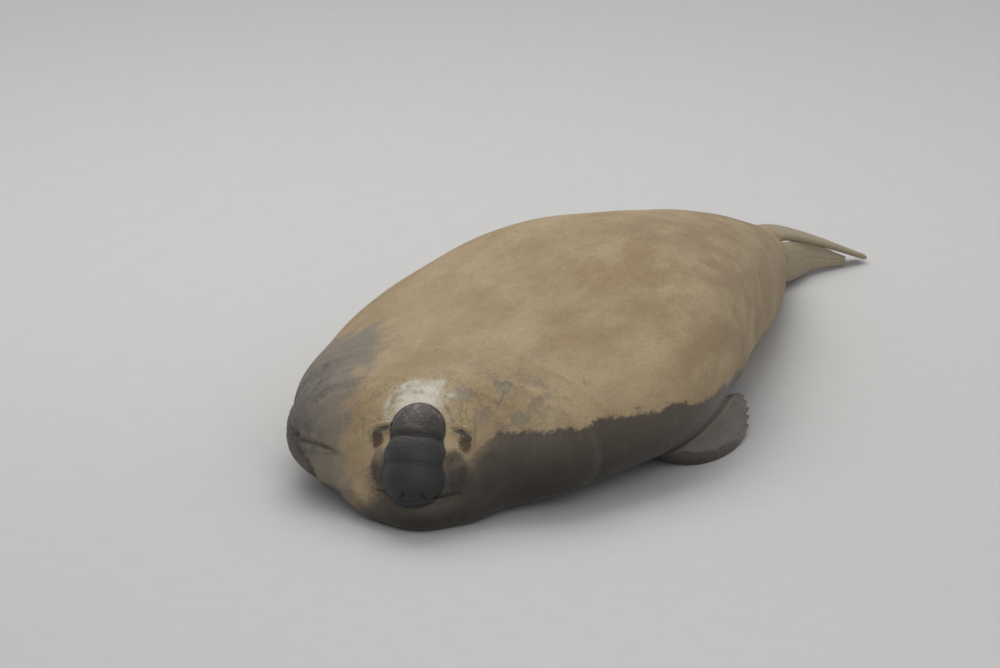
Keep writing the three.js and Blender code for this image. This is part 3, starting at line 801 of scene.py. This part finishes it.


# The hide's finish. Short dense hair lies flat along the body: matt and tan where it is dry, dark
# and close where the sea wets it and painted darker toward the floor as painted shade, with the bare
# nose damp and slate and painted black low down as painted shade. Colour comes from the markings
# broken up by noise in the object's own space, and the hair itself is a fine drawn-out bump.
class Finish:
    """Small hand for joining shader nodes: each call makes one node and returns its output."""

    def __init__(self, name):
        self.material = bpy.data.materials.new(name)
        self.material.use_nodes = True
        self.tree = self.material.node_tree
        self.surface = self.tree.nodes["Principled BSDF"]
        self.place = self.tree.nodes.new("ShaderNodeTexCoord").outputs["Object"]

    def put(self, socket, value):
        """Joins an output to a socket, or sets the socket's own value."""
        if isinstance(value, bpy.types.NodeSocket):
            self.tree.links.new(value, socket)
        else:
            socket.default_value = value

    def mark(self, name):
        """A marking kept on the mesh."""
        node = self.tree.nodes.new("ShaderNodeAttribute")
        node.attribute_name = name
        return node.outputs["Fac"]

    def grain(self, scale, stretch=(1, 1, 1), detail=3.0, rough=0.55, offset=(0, 0, 0)):
        """Noise in the object's own space, drawn out by a stretch along each axis."""
        move = self.tree.nodes.new("ShaderNodeMapping")
        move.inputs["Scale"].default_value = stretch
        move.inputs["Location"].default_value = offset
        self.put(move.inputs["Vector"], self.place)
        noise = self.tree.nodes.new("ShaderNodeTexNoise")
        noise.inputs["Scale"].default_value = scale
        noise.inputs["Detail"].default_value = detail
        noise.inputs["Roughness"].default_value = rough
        self.put(noise.inputs["Vector"], move.outputs["Vector"])
        return noise.outputs["Fac"]

    def sum(self, kind, first, second=0.0):
        """Arithmetic of two values."""
        node = self.tree.nodes.new("ShaderNodeMath")
        node.operation = kind
        self.put(node.inputs[0], first)
        self.put(node.inputs[1], second)
        return node.outputs[0]

    def times(self, first, second):
        """Product of two values."""
        return self.sum("MULTIPLY", first, second)

    def plus(self, first, second):
        """Total of two values."""
        return self.sum("ADD", first, second)

    def ruffle(self, value, noise, amount):
        """A value roughened by a noise: the noise less a half, times an amount."""
        return self.plus(value, self.times(self.sum("SUBTRACT", noise, 0.5), amount))

    def fade(self, value, low, high):
        """A value spread from 0 at the low end to 1 at the high end, held and smoothed."""
        node = self.tree.nodes.new("ShaderNodeMapRange")
        node.interpolation_type = "SMOOTHSTEP"
        self.put(node.inputs["Value"], value)
        node.inputs["From Min"].default_value = low
        node.inputs["From Max"].default_value = high
        return node.outputs["Result"]

    def tint(self, share, first, second, kind="MIX"):
        """Two colours mixed by a share."""
        node = self.tree.nodes.new("ShaderNodeMix")
        node.data_type = "RGBA"
        node.blend_type = kind
        self.put(node.inputs["Factor"], share)
        for socket, colour in ((node.inputs["A"], first), (node.inputs["B"], second)):
            self.put(socket, colour if isinstance(colour, bpy.types.NodeSocket) else tuple(colour) + (1.0,))
        return node.outputs["Result"]

    def stain(self, colour, share, strength, over):
        """A colour with another laid over it, by a share times a strength."""
        return self.tint(self.times(share, strength), colour, over)

    def blend(self, share, first, second):
        """Two numbers mixed by a share."""
        node = self.tree.nodes.new("ShaderNodeMix")
        node.data_type = "FLOAT"
        self.put(node.inputs["Factor"], share)
        self.put(node.inputs["A"], first)
        self.put(node.inputs["B"], second)
        return node.outputs["Result"]

    def relief(self, height, distance, strength=1.0, under=None):
        """Bump of a height in metres over another bump."""
        node = self.tree.nodes.new("ShaderNodeBump")
        node.inputs["Strength"].default_value = strength
        node.inputs["Distance"].default_value = distance
        self.put(node.inputs["Height"], height)
        if under is not None:
            self.put(node.inputs["Normal"], under)
        return node.outputs["Normal"]


dry_tan = (0.310, 0.222, 0.118)
dry_pale = (0.410, 0.312, 0.182)
dry_rust = (0.235, 0.150, 0.080)
dry_dusk = (0.190, 0.145, 0.098)
brow_cream = (0.620, 0.570, 0.470)
neck_grey = (0.175, 0.158, 0.135)
neck_dark = (0.098, 0.090, 0.082)
crease_shade_brown = (0.085, 0.064, 0.045)
wet_brown = (0.056, 0.043, 0.033)
wet_shade_black = (0.007, 0.0065, 0.005)
nose_slate = (0.027, 0.026, 0.026)
nose_brown = (0.042, 0.034, 0.029)
nose_black = (0.014, 0.015, 0.016)
nose_flake = (0.230, 0.170, 0.115)
pad_slate = (0.042, 0.038, 0.034)
tear_brown = (0.055, 0.033, 0.020)
lid_grey = (0.056, 0.055, 0.056)
limb_brown = (0.150, 0.126, 0.108)
limb_cream = (0.330, 0.270, 0.185)

pelt = Finish("short_coat")
big = pelt.grain(2.2, detail=2.0)
patch = pelt.grain(5.5, stretch=(1, 0.55, 1), detail=5.0, rough=0.6)
mottle = pelt.grain(13.0, stretch=(1, 0.45, 1), detail=6.0, rough=0.68, offset=(3, 1, 2))
fleck = pelt.grain(46.0, stretch=(1, 0.35, 1), detail=4.0, rough=0.7, offset=(1, 5, 2))
strands = pelt.grain(260.0, stretch=(1, 0.16, 1), detail=3.0, rough=0.65)

colour = pelt.tint(pelt.fade(patch, 0.28, 0.74), dry_tan, dry_pale)
colour = pelt.stain(colour, pelt.fade(mottle, 0.54, 0.78), 0.30, dry_dusk)
rust = pelt.times(pelt.mark("rust"), pelt.fade(patch, 0.62, 0.38))
colour = pelt.stain(colour, rust, 0.34, dry_rust)
rump = pelt.times(pelt.mark("rump"), pelt.fade(big, 0.25, 0.65))
colour = pelt.stain(colour, rump, 0.35, dry_dusk)
grey_edge = pelt.plus(pelt.mark("grey"), pelt.sum("SUBTRACT", mottle, 0.52))
colour = pelt.stain(colour, pelt.fade(grey_edge, 0.22, 0.62), 0.8, neck_grey)
# The darkest neck colour: dark mottling on the grey neck, and painted shade low behind the fold on the right
# of the neck.
colour = pelt.stain(colour, pelt.fade(grey_edge, 0.70, 1.05), 0.85, neck_dark)
peeling = pelt.times(pelt.mark("peel"), pelt.fade(mottle, 0.51, 0.56))
colour = pelt.stain(colour, peeling, 0.75, neck_grey)
brow_edge = pelt.ruffle(pelt.mark("brow"), mottle, 1.6)
colour = pelt.tint(pelt.fade(brow_edge, 0.20, 0.85), colour, brow_cream)
# Painted shade: the creases and the low neck folds are darkened brown.
colour = pelt.stain(colour, pelt.mark("crease_shade"), 0.80, crease_shade_brown)

limb = pelt.mark("limb")
limb_colour = pelt.tint(pelt.fade(mottle, 0.42, 0.66), limb_brown, neck_grey)
limb_colour = pelt.tint(pelt.mark("rump"), limb_colour, limb_cream)
colour = pelt.tint(limb, colour, limb_colour)

water = pelt.ruffle(pelt.ruffle(pelt.mark("wet"), mottle, 0.105), fleck, 0.040)
sharp_edge = pelt.fade(water, -0.006, 0.014)
soft_edge = pelt.fade(water, -0.050, 0.075)
wet_share = pelt.blend(pelt.mark("soft"), sharp_edge, soft_edge)
# Painted shade: under the wet edge the colour runs from wet brown to near black further below the water line,
# darkening the real wet hair toward the floor.
lower_shade_share = pelt.fade(water, 0.01, 0.19)
wet_and_shade_colour = pelt.tint(lower_shade_share, wet_brown, wet_shade_black)
wet_and_shade_colour = pelt.stain(wet_and_shade_colour, pelt.fade(fleck, 0.54, 0.78), 0.14, dry_dusk)
colour = pelt.stain(colour, wet_share, 0.93, wet_and_shade_colour)

tears = pelt.ruffle(pelt.mark("tears"), fleck, 0.6)
colour = pelt.stain(colour, pelt.fade(tears, 0.30, 0.75), 0.85, tear_brown)
pads = pelt.ruffle(pelt.mark("pads"), mottle, 0.8)
pad_colour = pelt.tint(pelt.fade(fleck, 0.55, 0.63), pad_slate, nose_black)
colour = pelt.stain(colour, pelt.fade(pads, 0.15, 0.70), 0.85, pad_colour)
colour = pelt.tint(pelt.fade(pelt.mark("lid"), 0.25, 0.85), colour, lid_grey)

nose_value = pelt.ruffle(pelt.mark("nose"), fleck, 0.006)
nose_share = pelt.fade(nose_value, -0.011, -0.006)
height_node = pelt.tree.nodes.new("ShaderNodeSeparateXYZ")
pelt.put(height_node.inputs[0], pelt.place)
height = height_node.outputs["Z"]
# Painted shade: the bare nose is painted black on its low lobes, fading to slate higher up.
nose_colour = pelt.tint(pelt.fade(height, 0.17, 0.36), nose_black, nose_slate)
browned = pelt.times(pelt.fade(mottle, 0.34, 0.56), pelt.fade(height, 0.36, 0.43))
nose_colour = pelt.tint(browned, nose_colour, nose_brown)
flaking = pelt.times(pelt.fade(fleck, 0.53, 0.60), pelt.fade(height, 0.41, 0.485))
nose_colour = pelt.stain(nose_colour, flaking, 0.8, nose_flake)
colour = pelt.tint(nose_share, colour, nose_colour)
shade = pelt.blend(pelt.fade(strands, 0.25, 0.75), 0.86, 1.10)
shade_colour = pelt.tree.nodes.new("ShaderNodeCombineColor")
for channel in ("Red", "Green", "Blue"):
    pelt.put(shade_colour.inputs[channel], shade)
colour = pelt.tint(1.0, colour, shade_colour.outputs[0], "MULTIPLY")
pelt.put(pelt.surface.inputs["Base Color"], colour)

bare = pelt.sum("MAXIMUM", nose_share, pelt.times(limb, 0.5))
gloss = pelt.blend(wet_share, pelt.blend(fleck, 0.74, 0.92), pelt.blend(mottle, 0.30, 0.52))
gloss = pelt.blend(nose_share, gloss, pelt.blend(fleck, 0.42, 0.52))
pelt.put(pelt.surface.inputs["Roughness"], gloss)
pelt.surface.inputs["Specular IOR Level"].default_value = 0.42
pelt.surface.inputs["Sheen Weight"].default_value = 0.06
pelt.surface.inputs["Sheen Roughness"].default_value = 0.5

furrows = pelt.grain(7.0, stretch=(0.55, 3.4, 0.55), detail=4.0, rough=0.6, offset=(2, 3, 1))
pebble = pelt.grain(120.0, detail=3.0, rough=0.6)
cracks = pelt.tree.nodes.new("ShaderNodeTexVoronoi")
cracks.feature = "DISTANCE_TO_EDGE"
cracks.inputs["Scale"].default_value = 85.0
pelt.put(cracks.inputs["Vector"], pelt.place)
crack_height = pelt.fade(cracks.outputs["Distance"], 0.0, 0.12)
normal = pelt.relief(furrows, 0.010, 0.55)
normal = pelt.relief(pelt.blend(nose_share, mottle, 0.5), 0.0035, 0.6, normal)
hair = pelt.blend(bare, strands, pebble)
normal = pelt.relief(hair, 0.0016, 0.75, normal)
bare_cracks = pelt.blend(nose_share, 0.5, crack_height)
normal = pelt.relief(bare_cracks, 0.0010, 0.6, normal)
pelt.put(pelt.surface.inputs["Normal"], normal)

skin_mesh.materials.clear()
skin_mesh.materials.append(pelt.material)
skin_mesh.polygons.foreach_set("material_index", np.zeros(len(skin_mesh.polygons), dtype=np.int32))
flesh_nodes = ("head", "proboscis", "lower_jaw", "neck", "chest", "torso", "loin", "hips", "tail",
               "flipper_fore_left", "flipper_fore_right", "flipper_hind_left", "flipper_hind_right")
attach(skin, "root")
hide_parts(*flesh_nodes)


# The coat. Over the bump of the short hair lie small separate locks: stiff, flat, overlapping and
# swept back from the nose to the tail, thickest at the folds of the neck and along the wet edge.
# A lock is a thin closed leaf: root, two sides, a raised tip and a crown, set at random on the skin.
coat_pieces = 3
locks_each = 32000
lock_long = 0.017
lock_long_face = 0.006
lock_wide_share = 0.30
lock_lift = 0.0006
patch_size = 0.003
belly_height = 0.012

coat_random = np.random.default_rng(7)
skin_mesh.calc_loop_triangles()
corner_index = np.empty(len(skin_mesh.loop_triangles) * 3, dtype=np.int32)
skin_mesh.loop_triangles.foreach_get("vertices", corner_index)
corners = joined[corner_index.reshape(-1, 3)]
facing = np.cross(corners[:, 1] - corners[:, 0], corners[:, 2] - corners[:, 0])
areas = np.linalg.norm(facing, axis=-1) / 2
facing = facing / (2 * areas[:, None] + 1e-12)
middles = corners.mean(axis=1)
middle_marks = markings(middles)
fringe = ridge(middle_marks["wet"], 0.03) + middle_marks["grey"] + 0.6 * middle_marks["rump"]
bare_skin = np.maximum(ease((middle_marks["nose"] + 0.012) / 0.004), ease((middle_marks["lid"] - 0.1) / 0.1))
resting = (middles[:, 2] < belly_height) | (facing[:, 2] < -0.75)
chance = areas * (1.0 + 1.4 * fringe + 1.5 * middle_marks["face"]) * (1 - bare_skin) * ~resting
chance = chance / chance.sum()


def locks(chosen):
    """Closed leaves on the chosen triangles: five points each, swept back along the body."""
    count = len(chosen)
    mix = coat_random.random((count, 2))
    over = mix.sum(axis=1) > 1
    mix[over] = 1 - mix[over]
    trio = corners[chosen]
    root = trio[:, 0] + mix[:, :1] * (trio[:, 1] - trio[:, 0]) + mix[:, 1:] * (trio[:, 2] - trio[:, 0])
    up = facing[chosen]
    turn = heading(length_along(root))
    back = np.stack([-np.sin(turn), np.cos(turn), np.full(count, -0.12)], axis=-1)
    near_head = ease((in_head(root)[0] + 0.45) / 0.30)[:, None]
    from_nose = root - from_head(0.26, 0.0, 0.30)
    from_nose = from_nose / np.linalg.norm(from_nose, axis=-1, keepdims=True)
    back = back * (1 - near_head) + from_nose * near_head
    back = back + coat_random.normal(0, 0.16, (count, 3))
    back = back - up * np.sum(back * up, axis=-1, keepdims=True)
    back = back / np.linalg.norm(back, axis=-1, keepdims=True)
    across = np.cross(up, back)
    face = markings(root)["face"]
    limb = middle_marks["limb"][chosen]
    long = lock_long + (lock_long_face - lock_long) * np.maximum(face, limb * 0.8)
    long = (long * coat_random.uniform(0.7, 1.25, count))[:, None]
    wide = long * lock_wide_share * coat_random.uniform(0.8, 1.2, (count, 1))
    lift = lock_lift * (long / lock_long)
    points = np.stack([root - up * 0.0008,
                       root + back * long * 0.45 + across * wide * 0.5 - up * 0.0003,
                       root + back * long + up * lift,
                       root + back * long * 0.45 - across * wide * 0.5 - up * 0.0003,
                       root + back * long * 0.45 + up * lift * 0.9], axis=1)
    points[..., 2] = np.maximum(points[..., 2], 0.0006)
    return root, points


leaf_points = 5
leaf_faces = np.array([(0, 4, 1), (1, 4, 2), (2, 4, 3), (3, 4, 0), (0, 1, 2), (0, 2, 3)])
leaf_patch = np.array([(0.0, -0.5), (0.3, 0.0), (0.0, 0.5), (-0.3, 0.0), (0.0, 0.0)]) * patch_size
for piece_number in range(coat_pieces):
    chosen = coat_random.choice(len(areas), size=locks_each, p=chance)
    root, points = locks(chosen)
    flat_points = points.reshape(-1, 3)
    faces = leaf_faces[None] + leaf_points * np.arange(locks_each)[:, None, None]
    faces = faces.reshape(-1, 3).astype(np.int32)
    coat_mesh = bpy.data.meshes.new("seal_coat_%d" % (piece_number + 1))
    coat_mesh.vertices.add(len(flat_points))
    coat_mesh.vertices.foreach_set("co", (flat_points + frame_shift).ravel())
    coat_mesh.loops.add(faces.size)
    coat_mesh.loops.foreach_set("vertex_index", faces.ravel())
    coat_mesh.polygons.add(len(faces))
    coat_mesh.polygons.foreach_set("loop_start", np.arange(0, faces.size, 3, dtype=np.int32))
    coat_mesh.update(calc_edges=True)
    coat_mesh.shade_flat()
    root_angle = angle_round(root, length_along(root))
    unwrap = np.stack([(root_angle + math.pi) / (2 * math.pi), (root[:, 1] + 0.2) / 4.6], axis=-1)
    unwrap = 0.02 + 0.96 * unwrap
    patch_points = (unwrap[:, None, :] + leaf_patch[None]).reshape(-1, 2)
    layer = coat_mesh.uv_layers.new(name="OFBake")
    layer.data.foreach_set("uv", patch_points[faces.ravel()].astype(np.float32).ravel())
    coat = in_scene(coat_mesh.name, coat_mesh)
    keep_markings(coat_mesh, root, leaf_points)
    coat_mesh.materials.append(pelt.material)
    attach(coat, "root")


# The eyes. Each is a large wet ball, almost black, with the lids drawn over all but a sliver.
# A ball is rings of latitude round its outward line, with the clear front bulging a little.
eye_radius = 0.030
eye_sunk = 0.040
cornea_rise = 0.0016
cornea_spread = 0.42
eye_rings = 24
eye_around = 40


def circles(middle, radius, around, first, second):
    """Rings of points: about each middle a circle of a radius, in the plane of two lines."""
    angle = np.linspace(0, 2 * math.pi, around, endpoint=False)
    return (middle[:, None, :] + (radius * np.cos(angle))[..., None] * first
            + (radius * np.sin(angle))[..., None] * second)


def ring_faces(rings, around):
    """Faces that close a row of rings and its two poles, which are the last two points.

    They point outwards when the rings follow each other against their line, and are turned round
    when the rings follow each other along it.
    """
    first_pole = rings * around
    last = (rings - 1) * around
    faces = []
    for column in range(around):
        beside = (column + 1) % around
        faces.append((first_pole, beside, column))
        faces.append((first_pole + 1, last + column, last + beside))
        for row in range(0, last, around):
            faces.append((row + column, row + beside, row + around + beside, row + around + column))
    return faces


def eyeball(front, out):
    """Closed ball: circles of latitude about the outward line, the cornea raised by a bell curve."""
    centre = front - out * eye_sunk
    side_line = unit(np.cross(out, upward))
    rise_line = np.cross(side_line, out)
    latitude = np.linspace(0, math.pi, eye_rings + 2)[1:-1]
    radius = eye_radius + cornea_rise * ridge(latitude, cornea_spread)
    middle = centre + (radius * np.cos(latitude))[:, None] * out
    points = circles(middle, (radius * np.sin(latitude))[:, None], eye_around, side_line, rise_line)
    ends = np.array([centre + out * (eye_radius + cornea_rise), centre - out * eye_radius])
    points = np.vstack([points.reshape(-1, 3), ends])
    return points, ring_faces(eye_rings, eye_around)


eye_finish = Finish("wet_eye")
iris = eye_finish.grain(160.0, detail=4.0)
eye_colour = eye_finish.tint(eye_finish.fade(iris, 0.35, 0.7), (0.006, 0.004, 0.003), (0.022, 0.013, 0.008))
eye_finish.put(eye_finish.surface.inputs["Base Color"], eye_colour)
eye_finish.put(eye_finish.surface.inputs["Roughness"], eye_finish.blend(iris, 0.06, 0.12))
eye_finish.surface.inputs["Coat Weight"].default_value = 1.0
eye_finish.surface.inputs["Coat Roughness"].default_value = 0.03
for side, name in ((1, "left"), (-1, "right")):
    front, out = eye_frame(side)[:2]
    ball = piece_from("seal_eye_" + name, *eyeball(front, out))
    ball.data.materials.append(eye_finish.material)
    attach(ball, "root")
    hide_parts("eye_" + name)


# The claws. Five small dark nails lie on the ends of each fore flipper's digits, worn and grooved.
# A claw is a round section carried along the digit's line, thinning to a blunt, down-turned point.
claw_long = 0.050
claw_radius = 0.0068
claw_root_share = 0.93
claw_droop = 0.006
claw_grooves = 5
claw_lift = 0.014
claw_rings = 14
claw_around = 20


def claw(side, digit):
    """Closed nail: circles along a short arc, their radius falling as the root of what is left."""
    angle = np.array([math.acos((2 * digit + 1) / digits - 1)])
    share = np.array([1.0])
    shape = (*fore_shape, side)
    rim_high = paddle_points(*shape, share, angle)[0]
    rim_low = paddle_points(*shape, share, -angle)[0]
    tip = (rim_high + rim_low) / 2
    inner_high = paddle_points(*shape, share * claw_root_share, angle)[0]
    inner_low = paddle_points(*shape, share * claw_root_share, -angle)[0]
    along = unit(tip - (inner_high + inner_low) / 2)
    tip[2] = max(tip[2], claw_lift)
    cross = unit(np.cross(along, upward))
    rise = np.cross(cross, along)
    run = np.linspace(0, 1, claw_rings)
    thin = claw_radius * np.sqrt(np.clip(1 - run**2.4, 0.0, 1.0)) * (0.80 + 0.20 * np.minimum(run * 6, 1))
    thin[-1] = claw_radius * 0.12
    round_angle = np.linspace(0, 2 * math.pi, claw_around, endpoint=False)
    groove = 1 + 0.03 * np.cos(claw_grooves * round_angle)
    middle = (tip - along * claw_long * 0.5)[None, :] + (run * claw_long)[:, None] * along
    middle = middle - (claw_droop * run**2)[:, None] * rise
    points = circles(middle, thin[:, None] * groove, claw_around, cross, rise)
    points[..., 2] = np.maximum(points[..., 2], 0.001)
    points = np.vstack([points.reshape(-1, 3), middle[0], middle[-1] + along * claw_radius * 0.1])
    return points, [face[::-1] for face in ring_faces(claw_rings, claw_around)]


claw_finish = Finish("worn_horn")
horn_lines = claw_finish.grain(240.0, stretch=(1, 0.2, 1), detail=4.0)
horn_dark = (0.030, 0.025, 0.021)
horn_pale = (0.120, 0.095, 0.070)
horn_colour = claw_finish.tint(claw_finish.fade(horn_lines, 0.35, 0.7), horn_dark, horn_pale)
claw_finish.put(claw_finish.surface.inputs["Base Color"], horn_colour)
claw_finish.put(claw_finish.surface.inputs["Roughness"], claw_finish.blend(horn_lines, 0.32, 0.55))
claw_finish.put(claw_finish.surface.inputs["Normal"], claw_finish.relief(horn_lines, 0.0004, 0.6))
for side, name in ((1, "left"), (-1, "right")):
    for digit in range(digits):
        nail = piece_from("seal_claw_%s_%d" % (name, digit + 1), *claw(side, digit))
        nail.data.materials.append(claw_finish.material)
        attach(nail, "root")
        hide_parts("claw_%s_%d" % (name, digit + 1))


# The whiskers. Stiff dark hairs stand in rows on the swollen pads beside the nose, and a few over
# each eye. Each is a round hair carried along a bent line, rooted in the skin, thinning to a point.
whisker_around = 6
whisker_rings = 8
whisker_radius = 0.0011
whisker_random = np.random.default_rng(11)


def hair_line(root, aim, droop, long, radius):
    """Closed tapered hair: small circles along a line that bends down with the square of its length."""
    aim = unit(aim)
    cross = unit(np.cross(aim, upward))
    rise = np.cross(cross, aim)
    run = np.linspace(0, 1, whisker_rings)
    middle = root + (run * long)[:, None] * aim - (droop * run**2)[:, None] * upward
    thin = radius * (1 - 0.93 * run)
    points = circles(middle, thin[:, None], whisker_around, cross, rise)
    points = np.vstack([points.reshape(-1, 3), middle[0], middle[-1]])
    return points, [face[::-1] for face in ring_faces(whisker_rings, whisker_around)]


def gathered(parts):
    """One list of points and faces from many closed parts."""
    all_points = []
    all_faces = []
    start = 0
    for points, faces in parts:
        all_points.append(points)
        all_faces += [tuple(index + start for index in face) for face in faces]
        start += len(points)
    return np.vstack(all_points), all_faces


whisker_parts = []
for side in (1, -1):
    for row in range(5):
        for place in range(6):
            spread = 0.36 + 0.125 * place + 0.03 * (row % 2)
            lift = 0.30 - 0.17 * row
            aim = math.cos(spread) * head_forward + math.sin(spread) * side * head_aside + lift * upward
            aim = unit(aim)
            start = from_head(0.10, 0.100 * side, 0.235)
            surface = ray_ends(start[None, :], aim[None, :])[0]
            lean = aim + 0.45 * side * head_aside - 0.35 * upward
            long = 0.034 + 0.034 * whisker_random.random() + 0.006 * place
            whisker_parts.append(hair_line(surface - aim * 0.006, lean, 0.012, long, whisker_radius))
    front, out, slit, over = eye_frame(side)
    for place in range(2):
        start = front + over * 0.034 + slit * (0.014 * (place - 0.5)) - out * 0.030
        surface = ray_ends(start[None, :], out[None, :])[0]
        lean = out * 0.5 + over + slit
        whisker_parts.append(hair_line(surface - out * 0.005, lean, 0.004, 0.026, whisker_radius * 0.6))
whiskers = piece_from("seal_whiskers", *gathered(whisker_parts))
whisker_finish = Finish("whisker_hair")
whisker_bands = whisker_finish.grain(300.0, detail=2.0)
whisker_colour = whisker_finish.tint(whisker_bands, (0.020, 0.016, 0.013), (0.075, 0.060, 0.045))
whisker_finish.put(whisker_finish.surface.inputs["Base Color"], whisker_colour)
whisker_finish.surface.inputs["Roughness"].default_value = 0.42
whiskers.data.materials.append(whisker_finish.material)
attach(whiskers, "root")


# The floor, the light and the view. A pale plain floor stands in for a museum plinth, lit by a
# broad soft sky as under cloud. The view is a long lens from the front left, a little above.
floor_mesh = bpy.data.meshes.new("plain_floor")
floor_half = 60.0
floor_mesh.from_pydata([(-floor_half, -floor_half, 0), (floor_half, -floor_half, 0),
                        (floor_half, floor_half, 0), (-floor_half, floor_half, 0)], [], [(0, 1, 2, 3)])
floor = in_scene("plain_floor", floor_mesh)
floor_finish = Finish("floor_paint")
floor_grain = floor_finish.grain(9.0, detail=5.0)
floor_finish.put(floor_finish.surface.inputs["Base Color"],
                 floor_finish.tint(floor_grain, (0.56, 0.555, 0.545), (0.60, 0.595, 0.585)))
floor_finish.surface.inputs["Roughness"].default_value = 0.85
floor_mesh.materials.append(floor_finish.material)

sky = bpy.data.worlds.new("cloudy_sky")
sky.use_nodes = True
sky.node_tree.nodes["Background"].inputs["Color"].default_value = (0.97, 0.98, 1.0, 1.0)
sky.node_tree.nodes["Background"].inputs["Strength"].default_value = 0.50
bpy.context.scene.world = sky


def soft_light(name, place, aim, power, size, colour):
    """Large square lamp at a place, turned to face a point."""
    lamp = bpy.data.lights.new(name, "AREA")
    lamp.energy = power
    lamp.size = size
    lamp.color = colour
    holder = in_scene(name, lamp)
    holder.location = place
    line = np.array(aim) - np.array(place)
    flat = math.hypot(line[0], line[1])
    holder.rotation_euler = (math.atan2(flat, -line[2]), 0.0, math.atan2(line[1], line[0]) - math.pi / 2)


soft_light("cloud_overhead", (-2.5, 1.5, 7.5), (0.0, 0.0, 0.3), 360.0, 7.0, (1.0, 0.985, 0.96))
soft_light("cloud_front", (5.0, -7.0, 4.5), (0.0, -0.8, 0.3), 150.0, 5.0, (0.95, 0.975, 1.0))

view_turn = math.radians(30.0)
view_lift = math.radians(19.0)
view_distance = 30.0
pixels_per_metre = 237.0
picture_wide = 1000.0
picture_high = 668.0
aim_point = np.array([0.0, 1.5 + frame_shift[1], 0.0])
aim_pixel = (548.91, 425.50)
sensor_width = 36.0
lens_view = bpy.data.cameras.new("long_lens")
lens_view.sensor_fit = "HORIZONTAL"
lens_view.sensor_width = sensor_width
lens_view.lens = pixels_per_metre * view_distance / picture_wide * sensor_width
lens_view.shift_x = (picture_wide / 2 - aim_pixel[0]) / picture_wide
lens_view.shift_y = (aim_pixel[1] - picture_high / 2) / picture_wide
lens_view.clip_end = 200.0
viewer = in_scene("long_lens", lens_view)
back_line = np.array([math.sin(view_turn) * math.cos(view_lift),
                      -math.cos(view_turn) * math.cos(view_lift), math.sin(view_lift)])
viewer.location = aim_point + back_line * view_distance
viewer.rotation_euler = (math.pi / 2 - view_lift, 0.0, view_turn)
bpy.context.scene.camera = viewer
bpy.context.scene.view_settings.view_transform = "Standard"
